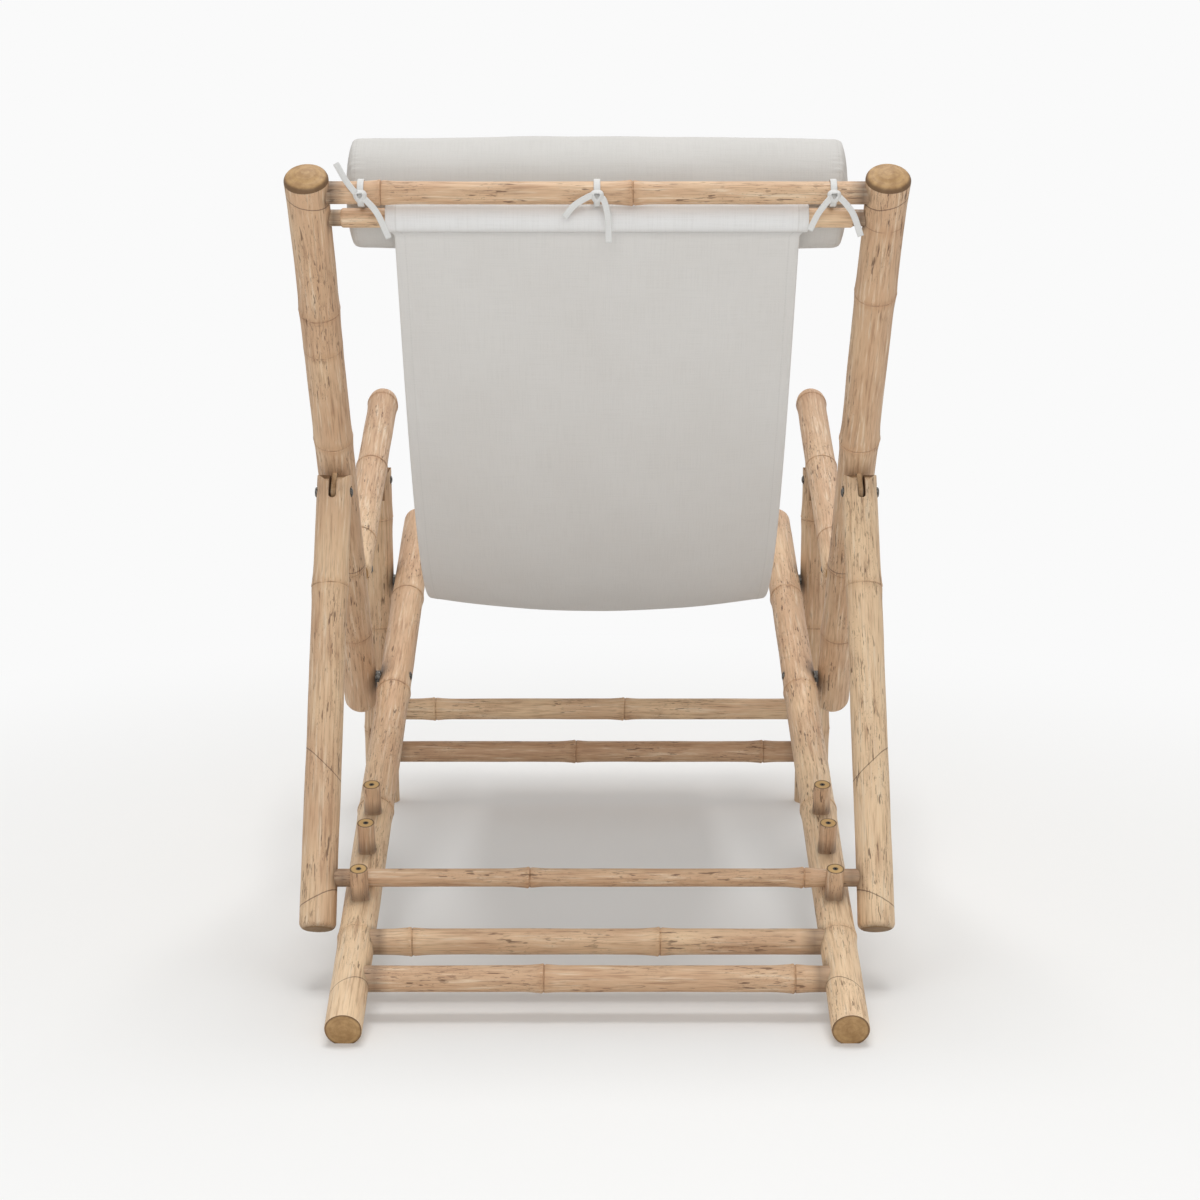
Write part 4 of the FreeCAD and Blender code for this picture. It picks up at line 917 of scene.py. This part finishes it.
for word, side in SIDES:
    back = Cane("back_cane_" + word, pole_frame(BACK_START, BACK_ANGLE, side * OUTER_X), BACK_LENGTH,
                21.8, 22.4, BACK_RINGS[word], low_round=14.0, high_round=7.0, lean=1.0,
                tones=(1.1, 0.75), flare=1.6)
    cuts = [bolt_seat(side, 20.2, 0.0, BACK_TAIL)]
    cane_piece(back, carved(swept(back, high_bulge=4.5), cuts), "back_pole_" + word, "back_frame",
               scars=((819.0, side * 0.25), (268.0, side * 0.18)), grain_dome=7.0)

    end = STRUT_PIN_ALONG + STRUT_RADIUS
    strut = Cane("strut_cane_" + word, pole_frame(STRUT_START, STRUT_ANGLE, side * OUTER_X), end,
                 STRUT_RADIUS, STRUT_RADIUS, (399.0,), rise=1.0, low_round=7.0, tones=STRUT_TONES[word])
    cuts = [end_round(STRUT_RADIUS, STRUT_PIN_ALONG), fork_slot(STRUT_PIN_ALONG, end + PAST_END)]
    cuts += both_seats(side, 18.5, 0.0, STRUT_PIN_ALONG)
    cane_piece(strut, carved(swept(strut), cuts), "strut_" + word, "strut_frame",
               scars=((34.0, -side * 0.5), (186.0, side * 0.95)))

    end = LEG_PIN_ALONG + LEG_END
    leg = Cane("leg_cane_" + word, pole_frame(LEG_START, LEG_ANGLE, side * OUTER_X), end,
               23.4, 21.4, (112.0, 265.0, 418.0), rise=0.9, lean=0.4)
    cuts = [end_round(LEG_END, LEG_PIN_ALONG)]
    cuts += [pared(front, LEG_END, LEG_PIN_ALONG - PARED_LENGTH, end + PAST_END) for front in (1, -1)]
    cuts += [fork_slot(LEG_PIN_ALONG, end + PAST_END)] + both_seats(side, 19.8, 0.0, LEG_PIN_ALONG)
    cuts += [bolt_seat(side, 20.3, 0.0, LEG_REACH)]
    cane_piece(leg, carved(swept(leg), cuts), "leg_" + word, "leg_frame", ground=True)

    arm = Cane("armrest_cane_" + word, pole_frame(ARM_START, ARM_ANGLE, side * OUTER_X), ARM_LENGTH,
               ARM_RADIUS, ARM_RADIUS, (84.0, 277.0, 464.0), low_round=7.0, high_round=12.0,
               tones=(0.6, 1.45))
    cuts = [fork_slot(ARM_TAIL, -PAST_END, upward=False)]
    cuts += both_seats(side, 16.95, -ARM_PIN_OFF, ARM_TAIL)
    cane_piece(arm, carved(swept(arm, high_bulge=1.0), cuts), "armrest_" + word, "armrest_" + word,
               grain_dome=3.0)
print("poles that fold", 4 * len(SIDES))

# %% [markdown]
# ## Bolts, nuts, washers and tongues
# Each pivot is a short bolt with a low domed head outside and a six-sided cap nut inside, both sunk a
# little into the cane. They are turned on a lathe, so their profile is a list of distances and radii
# spun round X, once for each side of the chair. The steel is plain and dull with dark stains, as it
# is on furniture that stands outdoors. Washers and wooden tongues have the right shape already in the
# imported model, so they only get their finish.

# %% Steel and tongue wood
def dull_steel():
    steel = Finish("dull_steel", 0.42)
    place = steel.node("ShaderNodeTexCoord", out="Object")
    stain = steel.cloud(place, (420, 420, 420), 3.0, 0.6)
    scratch = steel.cloud(place, (300, 2400, 2400))
    steel.wear(Base_Color=steel.blend(stain.ramp(0.42, 0.68), colour(118, 116, 112), colour(62, 56, 50)),
               Metallic=0.95 - 0.5 * stain.ramp(0.5, 0.75),
               Roughness=0.34 + 0.25 * stain + 0.12 * scratch,
               Normal=steel.relief(scratch * 0.4 + stain * 0.3, 0.0003, 0.4))
    return steel.material


def tongue_wood():
    """Planed wood, with shade painted on its sides, which lie between the fork's cheeks, further from the
    middle of its thickness.
    """
    wood = Finish("tongue_wood", 0.62)
    place = wood.node("ShaderNodeTexCoord", out="Object")
    lines = wood.cloud(place, (900, 130, 420), 3.0, 0.6)
    broad = wood.cloud(place, (120, 40, 60))
    # painted shade on the tongue's sides, which lie between the fork's cheeks
    slot_shade = abs(abs(wood.parts(place)[0]) - OUTER_X * MM).ramp(0.0022, 0.0034)
    body = wood.coats(colour(216, 184, 144),
                      (broad.ramp(0.35, 0.65), colour(192, 156, 116)),
                      (lines.ramp(0.5, 0.75) * 0.5, colour(140, 104, 72)),
                      (slot_shade * 0.9, SHADE_BROWN))
    wood.wear(Base_Color=body, Roughness=0.55 + 0.2 * lines, Normal=wood.relief(lines, 0.0004, 0.5))
    return wood.material


STEEL = dull_steel()
REFINISHED = {"back_pivot_washers": STEEL, "leg_pivot_washers": STEEL}
planed = tongue_wood()
for word, side in SIDES:
    for node in ("strut_tongue_", "arm_tongue_", "arm_front_tongue_"):
        REFINISHED[node + word] = planed
for node, finish in REFINISHED.items():
    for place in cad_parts[node].material_slots:
        place.link = "OBJECT"
        place.material = finish
print("kept nodes", len(REFINISHED))

# %% Lathe small steel pieces
LATHE_STEPS = 36
STEEL_CREASE = 32
HEAD_THICK, HEAD_EDGE = 3.3, 1.1
SHANK_RADIUS, SHANK_PAST_NUT = 3.5, 1.4


def hexagon(turn, across):
    """The distance to a hexagon's side, in a direction."""
    sector = math.radians(60)
    return across / math.cos((turn % sector) - sector / 2)


def lathed(shape, rows, centre, side):
    """Spins (x, radius, six-sided share) rows round X; a mirror image on the other side."""
    loops = []
    for x, radius, six in rows:
        loop = []
        for k in range(LATHE_STEPS):
            turn = 2 * math.pi * k / LATHE_STEPS
            out = radius * (1 - six) + hexagon(turn, radius) * six
            loop.append(shape.verts.new((side * x, centre.y + out * math.cos(turn),
                                         centre.z + out * math.sin(turn))))
        loops.append(loop)
    skin_over(shape, loops)


def bolt_rows(face, tip):
    """Shank, then a low domed head with a six-sided socket."""
    top, edge = face + HEAD_THICK, face + HEAD_EDGE
    rows = [(tip, 3.0, 0), (tip + 0.5, SHANK_RADIUS, 0), (face, SHANK_RADIUS, 0), (face, 6.0, 0),
            (face + 0.2, 6.2, 0), (edge, 6.2, 0)]
    for degrees in range(13, 79, 13):
        turn = math.radians(degrees)
        rows.append((edge + (top - edge) * math.sin(turn) / math.sin(math.radians(78)),
                     2.9 + 3.3 * math.cos(turn), 0))
    return rows + [(top - 0.05, 2.5, 0.5), (top - 0.3, 2.1, 1), (top - 1.9, 2.1, 1), (top - 2.1, 0.6, 0.3)]


def nut_rows(face):
    """A six-sided cap nut with a rounded crown, from its flat side on the wood inwards."""
    rows = [(face, 4.0, 0), (face, 5.3, 1), (face - 0.2, 5.36, 1), (face - 1.5, 5.36, 1),
            (face - 1.9, 5.1, 0.6), (face - 2.0, 4.4, 0)]
    for degrees in range(18, 91, 18):
        turn = math.radians(degrees)
        rows.append((face - 2.0 - 1.3 * math.sin(turn), 0.5 + 3.9 * math.cos(turn), 0))
    return rows


def steel_pieces(name, node, body, rows):
    low, high = (Vector(v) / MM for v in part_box(node))
    shape = bmesh.new()
    for word, side in SIDES:
        lathed(shape, rows, (low + high) / 2, side)
    keep_creases(facing_out(shape), STEEL_CREASE)
    mesh = new_mesh(name, shape)
    mesh.transform(Matrix.Scale(MM, 4))
    mesh.materials.append(STEEL)
    piece = new_object(name, mesh)
    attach(piece, body)
    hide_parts(node)


for pivot, body in (("back_pivot", "seat_frame"), ("leg_pivot", "seat_frame"), ("strut", "back_frame"),
                    ("arm_rear", "back_frame"), ("arm_front", "leg_frame")):
    head_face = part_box(pivot + "_bolts")[1][0] / MM - HEAD_THICK
    nut_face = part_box(pivot + "_nuts")[1][0] / MM
    steel_pieces(pivot + "_bolt_set", pivot + "_bolts", body,
                 bolt_rows(head_face, nut_face - SHANK_PAST_NUT))
    steel_pieces(pivot + "_nut_set", pivot + "_nuts", body, nut_rows(nut_face))
    print(pivot, "head at", round(head_face, 1), "nut at", round(nut_face, 1))

# %% [markdown]
# ## Canvas and tape
# The cloth is unbleached cotton in a plain weave. A weave is two sets of ridges, one along the thread
# and one across it, each hidden where the other lies on top. Threads are never even, so a noise
# drawn out along each direction makes slubs. The cloth's own coordinates, in metres of cloth, ride on
# the mesh, so the threads follow every bend.

# %% Cloth finishes
FADED = colour(210, 207, 203)
# a paler colour for the painted light on the pockets
POCKET_LIGHT = colour(237, 238, 239)
STITCH_LENGTH = 0.0036


def cotton(name, pitch, light, shade, hem_stitch):
    """A plain weave, its threads and the distance of its stitches from an edge in metres."""
    cloth = Finish(name, 0.88)
    place = cloth.attribute("thread", "Vector")
    across, along, edge = cloth.parts(place)
    turns = 2 * math.pi / pitch
    weave = (across * turns).sine() * (along * turns).sine()
    slub_along = cloth.cloud(place, (900, 24, 0))
    slub_across = cloth.cloud(place, (24, 900, 0))
    faded = cloth.cloud(place, (9, 7, 0), 3.0)
    rows = [(faded.ramp(0.35, 0.65) * 0.35, FADED),
            # this coat is painted light on the pockets
            (cloth.attribute("pocket_light"), POCKET_LIGHT),
            ((slub_along + slub_across).ramp(0.9, 1.3) * 0.13, shade),
            (weave.ramp(-0.2, -1.0) * 0.2, shade)]
    height = weave * 0.5 + slub_along + slub_across
    if hem_stitch:
        line = abs(edge - hem_stitch).ramp(0.0009, 0.0004)
        stitch = line * (along * (2 * math.pi / STITCH_LENGTH)).sine().ramp(-0.5, 0.1)
        rows += [(line * 0.2, shade), (stitch * 0.4, light)]
        height = height + stitch * 0.9 - line * 0.6
    cloth.wear(Base_Color=cloth.coats(light, *rows), Roughness=0.82 + 0.1 * slub_along,
               Sheen_Weight=0.12, Sheen_Roughness=0.5, Normal=cloth.relief(height, 0.00025, 0.55))
    return cloth.material


CANVAS = cotton("sling_canvas", 0.0015, colour(216, 214, 211), colour(180, 178, 173), 0.011)
BOLSTER_CANVAS = cotton("bolster_canvas", 0.0013, colour(206, 204, 200), colour(174, 170, 165), 0.004)
TAPE_CLOTH = cotton("cotton_tape", 0.0011, colour(224, 224, 222), colour(176, 174, 170), None)
print("cloths", CANVAS.name, BOLSTER_CANVAS.name, TAPE_CLOTH.name)

# %% [markdown]
# ## The sling
# One length of canvas hangs from the head bar's lower neighbour to the front of the seat. At each end
# it goes once round its bar and is sewn to itself, which makes a round pocket with a crease under it.
# The cut is modelled as a sewer would lay it out: a path for the middle of the cloth, its two faces
# half a thickness to each side, and narrow hems down both edges.

# %% Path of the canvas
SLING_HALF, POCKET_HALF = 217.0, 225.0
SLING_DEPTH, SLING_LEAN, SLING_FULLNESS = 247.0, 0.86, 1.2
SLING_STEPS = 96
LOOP_RADIUS = 13.7
SEAM_FROM_BAR = 22.0
# distance from the bar's centre and angle from the sheet, for the loop's two ends at the crease
CREASE = ((16.2, 7.4), (15.2, 8.6), (14.3, 11.0))


def hem_line(share):
    chord = SLING_HEAD_BAR + (SLING_FRONT_BAR - SLING_HEAD_BAR) * share
    hang = math.sin(math.pi * share ** SLING_LEAN) ** SLING_FULLNESS
    return chord - Vector((0.0, 0.0, SLING_DEPTH * hang))


def share_at(centre, reach, near, far):
    """The share at which the hem line is at a distance from a bar's centre."""
    for step in range(40):
        middle = (near + far) / 2
        if (hem_line(middle) - centre).length < reach:
            near = middle
        else:
            far = middle
    return (near + far) / 2


def pocket_path(centre, share, rear):
    """Points of the loop from its loose end to where the sheet leaves it."""
    out = (hem_line(share) - centre).normalized()
    rear = Vector((0.0, -rear * out.z, rear * out.y))
    points = list(CREASE)
    points += [(LOOP_RADIUS, a) for a in np.linspace(15, 346, 48)]
    points += [(r, 360 - a * 0.72) for r, a in reversed(CREASE[1:])]
    return [(centre + out * (r * math.cos(math.radians(a))) + rear * (r * math.sin(math.radians(a))),
             0.0, True) for r, a in points]


first_share = share_at(SLING_HEAD_BAR, SEAM_FROM_BAR, 0.0002, 0.2)
last_share = share_at(SLING_FRONT_BAR, SEAM_FROM_BAR, 0.9998, 0.8)
# each row is a point, how far down the sheet it lies, and whether it is in a pocket
sling_path = pocket_path(SLING_HEAD_BAR, first_share, 1)
for k in range(SLING_STEPS + 1):
    share = first_share + (last_share - first_share) * k / SLING_STEPS
    sling_path.append((hem_line(share), k / SLING_STEPS, False))
sling_path += reversed(pocket_path(SLING_FRONT_BAR, last_share, -1))
print("points on the path", len(sling_path))

# %% Weave the sling's mesh
EDGE_STEPS = (0.0, 0.35, 1.0, 2.2, 5.0, 8.5, 10.4, 11.6, 13.0, 15.5, 21.0, 29.0)
INNER_COLUMNS = 30
CLOTH_HALF = 0.9
SLING_SAG = 18.0
HEM_WIDTH = 11.0
# distances from a bar's middle between which the cloth narrows, and between which the pockets' painted
# light fades out
NARROWING, LIGHT_FADING = (14.5, 23.0), (13.5, 17.0)
PLEAT, RIPPLE, HEM_RISE, PUCKER = 0.55, 0.9, 0.3, 0.22


def smooth(low, high, value):
    """0 below low, 1 above high, and a smooth step between."""
    t = min(1.0, max(0.0, (value - low) / (high - low)))
    return t * t * (3 - 2 * t)


def heading(line, n):
    """From the point before the given one to the point after it."""
    return line[min(n + 1, len(line) - 1)] - line[max(n - 1, 0)]


def cloth_columns(half):
    """Place across the cloth and distance from the nearer edge, for each column of points."""
    inner = half - EDGE_STEPS[-1]
    middle = [2 * k / INNER_COLUMNS - 1 for k in range(1, INNER_COLUMNS)]
    return ([(half - d, d) for d in EDGE_STEPS] + [(-inner * t, half - abs(inner * t)) for t in middle]
            + [(-half + d, d) for d in reversed(EDGE_STEPS)])


def canvas_face(point, normal, part_way, half, x, edge, run, side):
    """One point on one face of the cloth: side is 1 on the sitter's face."""
    free = math.sin(math.pi * part_way) if 0 < part_way < 1 else 0.0
    sag = SLING_SAG * free ** 0.7 * (1 - (x / half) ** 2) if free else 0.0
    near_end = math.exp(-part_way / 0.05) + math.exp(-(1 - part_way) / 0.05)
    pleats = 0.0
    if free:
        wave = math.sin(x / 7.1 + 2.0 * math.sin(x / 31.0))
        pleats = PLEAT * near_end * wave * smooth(0.0, 0.02, free)
        pleats += RIPPLE * free * noise.noise(Vector((x / 90.0, run / 160.0, 3.1)))
    thick = CLOTH_HALF * (0.35 + 0.65 * smooth(-0.2, 1.0, edge))
    hem = HEM_RISE * (1 - smooth(10.2, 11.8, edge)) * smooth(0.0, 2.0, edge)
    pucker = PUCKER * bell(edge - HEM_WIDTH, 5.0) * math.sin(run / 1.9 + 1.5 * math.sin(run / 23.0))
    return point - normal * (sag + pleats) + normal * (side * (thick + hem) + pucker)


def from_sling_bar(point):
    return min((point - SLING_HEAD_BAR).length, (point - SLING_FRONT_BAR).length)


def woven_sling():
    """The canvas as a closed sheet, each loop running over its upper face and back under it."""
    shape = bmesh.new()
    loops, threads = [], []
    run = in_pockets = 0.0
    line = [row[0] for row in sling_path]
    for n, (point, part_way, in_pocket) in enumerate(sling_path):
        ahead = heading(line, n).normalized()
        normal = Vector((0.0, ahead.z, -ahead.y))
        if n:
            step = (point - line[n - 1]).length
            run += step
            in_pockets += step if in_pocket and sling_path[n - 1][2] else 0.0
        half = POCKET_HALF + (SLING_HALF - POCKET_HALF) * smooth(*NARROWING, from_sling_bar(point))
        top, under = [], []
        for x, edge in cloth_columns(half):
            for row, side in ((top, 1), (under, -1)):
                place = canvas_face(point, normal, part_way, half, x, edge, run, side)
                row.append(shape.verts.new((x, place.y, place.z)))
                threads.append((x * MM, run * MM, edge * MM))
        loops.append(top + under[::-1])
    skin_over(shape, loops, closed=False)
    for loop in (loops[0], loops[-1]):
        for k in range(len(loop) // 2 - 1):
            shape.faces.new((loop[k], loop[k + 1], loop[-2 - k], loop[-1 - k]))
    return facing_out(shape), threads, run, in_pockets


def cloth_object(name, shape, threads, finish):
    for face in shape.faces:
        face.smooth = True
    mesh = new_mesh(name, shape)
    set_points(mesh, "thread", "FLOAT_VECTOR", [v for row in threads for v in row])
    mesh.transform(Matrix.Scale(MM, 4))
    mesh.materials.append(finish)
    return new_object(name, mesh)


sling_shape, sling_threads, sling_run, in_pockets = woven_sling()
sling = cloth_object("sling_cloth", sling_shape, sling_threads, CANVAS)
# the cloth round the bars is painted paler, as painted light on the pockets
pocket_light = [0.85 * (1 - smooth(*LIGHT_FADING, from_sling_bar(Vector((0.0, v.co.y, v.co.z)) / MM)))
         for v in sling.data.vertices]
set_points(sling.data, "pocket_light", "FLOAT", pocket_light)
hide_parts("sling")
wide, narrow = 2 * POCKET_HALF * MM, 2 * SLING_HALF * MM
cloth_area = in_pockets * MM * wide + (sling_run - in_pockets) * MM * narrow
sling_run * MM
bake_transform(sling)
print("cut length of the canvas", round(sling_run), "mm, area", round(cloth_area, 3), "m2")

# %% [markdown]
# ## The bolster
# The bolster is a stuffed roll tied behind the sitter's head. A stuffed thing bulges where nothing
# holds it and goes flat where it presses on a bar, and a cloth simulation gives the first: a slightly
# small roll is blown up from inside for twenty frames, and how far a point may move is capped. The
# bars behind it then press their own shape into it.

# %% Turn the roll, then fill it
BOLSTER_AT = SLING_HEAD_BAR + toward(19.5) * 75.5
BOLSTER_HALF, BOLSTER_RADIUS, END_RADIUS = 269.5, 64.0, 61.5
BOLSTER_RIM = 5.0
ROLL_STEPS = 96
FILL_FRAMES, MOST_MOVE = 20, 5.0
VOXEL = 0.005
# how much smaller the roll is turned, without and with the filling
UNFILLED_SMALLER, FILLED_SMALLER = 0.5, 2.5
FILLING = {"quality": 6, "mass": 0.3, "tension_stiffness": 20, "compression_stiffness": 20,
           "bending_stiffness": 2.0, "use_pressure": True, "uniform_pressure_force": 4.0}


def roll_profile(shrink):
    """Distance along the roll and radius, from one end's centre to the other's."""
    half = BOLSTER_HALF - shrink
    radius, rim = END_RADIUS - shrink, BOLSTER_RIM
    rows = [(-half, share * (radius - rim) / 0.86) for share in (0.0, 0.18, 0.36, 0.54, 0.72)]
    for k in range(7):
        turn = math.radians(15 * k)
        rows.append((-half + rim * (1 - math.cos(turn)), radius - rim + rim * math.sin(turn)))
    for k in range(1, 33):
        x = (-half + rim) * (1 - k / 32.0)
        rows.append((x, radius + (BOLSTER_RADIUS - END_RADIUS) * (1 - (x / BOLSTER_HALF) ** 2)))
    return rows + [(-x, r) for x, r in reversed(rows[:-1])]


def roll_shape(shrink):
    shape = bmesh.new()
    loops = []
    for x, radius in roll_profile(shrink):
        steps = ROLL_STEPS if radius > 0.01 else 1
        turns = [2 * math.pi * k / ROLL_STEPS for k in range(steps)]
        loops.append([shape.verts.new((x, BOLSTER_AT.y + radius * math.cos(turn),
                                       BOLSTER_AT.z + radius * math.sin(turn))) for turn in turns])
    skin_over(shape, loops, closed=False)
    return facing_out(shape)


def filled(piece):
    """Blows a closed mesh up as cloth with pressure and applies the result; caps the movement."""
    bpy.context.view_layer.objects.active = piece
    remesh = piece.modifiers.new("even_mesh", "REMESH")
    remesh.mode = "VOXEL"
    remesh.voxel_size = VOXEL
    before = coordinates(work_in(piece, remesh))
    cloth = piece.modifiers.new("filling", "CLOTH")
    for name, value in FILLING.items():
        setattr(cloth.settings, name, value)
    cloth.settings.effector_weights.gravity = 0.0
    cloth.collision_settings.use_collision = False
    cloth.point_cache.frame_start = 1
    cloth.point_cache.frame_end = FILL_FRAMES
    scene = bpy.context.scene
    for number in range(1, FILL_FRAMES + 1):
        scene.frame_set(number)
    blown = work_in(piece, cloth)
    scene.frame_set(1)
    step = coordinates(blown) - before
    moved = np.linalg.norm(step, axis=1)
    step *= np.minimum(1.0, MOST_MOVE * MM / np.maximum(moved, 1e-9))[:, None]
    blown.vertices.foreach_set("co", (before + step).ravel())
    return float(moved.max())


def made_bolster():
    mesh = new_mesh("bolster_roll", roll_shape(FILLED_SMALLER))
    mesh.transform(Matrix.Scale(MM, 4))
    piece = new_object("bolster_cloth", mesh)
    print("largest move of the filling", round(filled(piece) / MM, 1), "mm")
    finer = piece.modifiers.new("finer", "SUBSURF")
    finer.levels = 1
    work_in(piece, finer)
    return piece


# %% Shape the bolster against its neighbours
SEAM_IN = 3.0
SEAM_DEPTH, GATHER_DEPTH, LUMP_HEIGHT, MOST_SWELLING = 0.9, 0.3, 1.1, 0.8
# how near the bolster comes to a bar's middle
POCKET_PRESS, ROD_PRESS, HEAD_BAR_PRESS = 15.6, 11.0, 13.4


def seam_relief(x, radius, turn):
    """The round seam where an end disc is sewn to the roll, and the gathers that run from it."""
    away = BOLSTER_HALF - abs(x) - SEAM_IN
    groove = -SEAM_DEPTH * bell(away, 1.6) * smooth(45.0, 54.0, radius)
    gathers = GATHER_DEPTH * bell(away - 6.0, 9.0) * math.sin(turn * 61 + 2.0 * math.sin(turn * 7))
    lumps = LUMP_HEIGHT * noise.noise(Vector((x / 75.0, math.cos(turn) * 1.4, math.sin(turn) * 1.4)))
    return groove + gathers + lumps


bolster = made_bolster()
threads = []
for vertex in bolster.data.vertices:
    x, y, z = vertex.co / MM
    dy, dz = y - BOLSTER_AT.y, z - BOLSTER_AT.z
    radius = max(0.01, math.hypot(dy, dz))
    turn = math.atan2(dz, dy)
    grown = radius + seam_relief(x, radius, turn) * smooth(4.0, 30.0, radius)
    grown = min(grown, BOLSTER_RADIUS + MOST_SWELLING)
    y, z = BOLSTER_AT.y + dy / radius * grown, BOLSTER_AT.z + dz / radius * grown
    in_pocket = abs(x) <= POCKET_HALF + 2.0
    for centre, reach in ((SLING_HEAD_BAR, POCKET_PRESS if in_pocket else ROD_PRESS),
                          (HEAD_BAR, HEAD_BAR_PRESS)):
        away = math.hypot(y - centre.y, z - centre.z)
        if away < reach:
            y = centre.y + (y - centre.y) / away * reach
            z = centre.z + (z - centre.z) / away * reach
    vertex.co = Vector((x, y, z)) * MM
    threads += [x * MM, turn * BOLSTER_RADIUS * MM, abs(BOLSTER_HALF - SEAM_IN - 3.0 - abs(x)) * MM]
set_points(bolster.data, "thread", "FLOAT_VECTOR", threads)
bolster.data.materials.clear()
bolster.data.materials.append(BOLSTER_CANVAS)
for face in bolster.data.polygons:
    face.use_smooth = True
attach(bolster, "back_frame")
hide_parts("head_bolster")
print("bolster", [round(v, 3) for v in bolster.dimensions])

# %% [markdown]
# ## The ties
# Three cotton tapes hold the bolster to the head bar. Each comes out of the bolster's back, goes round
# the bar and ends in an overhand knot with two tails. A tape is a flat strap, so it is laid along a
# smooth line of points with the direction of its width given at each: round the bar the width runs
# along the bar, in the tails it lies flat to the viewer, and in the knot it turns on edge.

# %% Lay a tape along a line
def curve_through(points, steps):
    """Evenly followed points on a smooth curve through the given ones, ends included."""
    made = []
    ends = [points[0] * 2 - points[1]] + list(points) + [points[-1] * 2 - points[-2]]
    for a, b, c, d in zip(ends, ends[1:], ends[2:], ends[3:]):
        for k in range(steps):
            t = k / steps
            made.append(0.5 * ((2 * b) + (c - a) * t + (2 * a - 5 * b + 4 * c - d) * t * t
                               + (3 * b - 3 * c + d - a) * t ** 3))
    made.append(points[-1].copy())
    return made


TAPE_SECTION = ((-1.0, 0.0), (-0.94, 0.75), (-0.6, 1.0), (0.0, 0.86), (0.6, 1.0), (0.94, 0.75),
                (1.0, 0.0), (0.94, -0.75), (0.6, -1.0), (0.0, -0.86), (-0.6, -1.0), (-0.94, -0.75))


def lay_tape(shape, threads, line, widths, half_width, half_thick):
    """Adds a closed flat tape to a mesh; widths gives the direction of the tape's width."""
    run = 0.0
    loops = []
    for n, (point, wide) in enumerate(zip(line, widths)):
        ahead = heading(line, n).normalized()
        wide = (wide - ahead * wide.dot(ahead)).normalized()
        face = ahead.cross(wide)
        if n:
            run += (point - line[n - 1]).length
        loop = []
        for a, b in TAPE_SECTION:
            loop.append(shape.verts.new(point + wide * (a * half_width) + face * (b * half_thick)))
            threads.append((a * half_width * MM, run * MM, 0.0))
        loops.append(loop)
    skin_over(shape, loops)


# %% Tie the bolster to the bar
ACROSS, BEHIND, LIFT = (Vector(row) for row in Matrix.Identity(3))
TIES = (("left", 249.0), ("middle", 0.0), ("right", -249.0))
STRAP_RADIUS, STRAP_IN_ROLL = 13.9, 57.0
KNOT_RADIUS, KNOT_STEPS = 4.9, 40
KNOT_BEHIND, KNOT_BELOW = 17.4, 3.4
# half the width and half the thickness of each stretch of tape
STRAP_TAPE, KNOT_TAPE, TAIL_TAPE = (3.5, 0.65), (3.0, 0.75), (3.4, 0.65)
# points of each tail from the knot, to the left and up as the viewer sees them
TAILS = {
    "left": (((6, 5), (14.5, 16), (24.7, 34)), ((-6, -4), (-17.9, -18), (-29.8, -44))),
    "middle": (((7.3, 0), (23.5, -9.4), (34.6, -22)), ((-7.1, -4.3), (-11.4, -21.3), (-12.3, -48.5))),
    "right": (((6.5, -5.1), (16.7, -18.7), (25.2, -35.8)), ((-7.1, -2.6), (-19.9, -17.9), (-28.9, -41.7))),
}
to_roll = BOLSTER_AT - HEAD_BAR
to_roll_way = to_roll.normalized()
round_way = Vector((0.0, to_roll_way.z, -to_roll_way.y))


def strap_line(x):
    """Round the bar and back to a point just inside the bolster."""
    reach = to_roll.length - STRAP_IN_ROLL
    tip = HEAD_BAR + to_roll_way * reach
    lean = math.acos(STRAP_RADIUS / reach)
    made = [tip + round_way * 0.9]
    for k in range(33):
        turn = lean + (2 * math.pi - 2 * lean) * k / 32
        made.append(HEAD_BAR + to_roll_way * (STRAP_RADIUS * math.cos(turn))
                    + round_way * (STRAP_RADIUS * math.sin(turn)))
    made.append(tip - round_way * 0.9)
    smoothed = curve_through(made[:2], 6)[:-1] + made[1:-1] + curve_through(made[-2:], 6)[1:]
    return [p + ACROSS * x for p in smoothed]


def knot_line(middle):
    """A small ring of tape that passes over itself once, as an overhand knot shows from outside."""
    line, widths = [], []
    for k in range(KNOT_STEPS + 1):
        share = k / KNOT_STEPS
        turn = math.radians(200 - 430 * share)
        radial = ACROSS * math.cos(turn) + LIFT * math.sin(turn)
        out = KNOT_RADIUS + 0.5 * math.sin(3 * turn)
        line.append(middle + radial * out + BEHIND * (-2.2 + 4.6 * share))
        widths.append(radial * 0.62 - BEHIND * 0.78)
    return line, widths


def tail_line(middle, tail, number):
    """A tail that hangs from inside the knot, and rolls a little on its way."""
    start_x, start_z = tail[0]
    given = [middle + ACROSS * (start_x * 0.35) + LIFT * (start_z * 0.35) - BEHIND * 1.5]
    for n, (dx, dz) in enumerate(tail):
        given.append(middle + ACROSS * dx + LIFT * dz + BEHIND * (-0.5 - 1.2 * n))
    line = curve_through(given, 9)
    widths = []
    for n in range(len(line)):
        roll = math.radians(14 * math.sin(3.0 * n / len(line) + number))
        flat = heading(line, n).cross(BEHIND).normalized()
        widths.append(flat * math.cos(roll) + BEHIND * math.sin(roll))
    return line, widths


for word, x in TIES:
    shape = bmesh.new()
    threads = []
    strap = strap_line(x)
    middle = HEAD_BAR + ACROSS * x + BEHIND * KNOT_BEHIND - LIFT * KNOT_BELOW
    lay_tape(shape, threads, strap, [ACROSS] * len(strap), *STRAP_TAPE)
    lay_tape(shape, threads, *knot_line(middle), *KNOT_TAPE)
    for number, tail in enumerate(TAILS[word]):
        lay_tape(shape, threads, *tail_line(middle, tail, number), *TAIL_TAPE)
    tie = cloth_object("tie_tape_" + word, facing_out(shape), threads, TAPE_CLOTH)
    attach(tie, "back_frame")
    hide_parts("tie_" + word)
print("ties", list(TAILS))
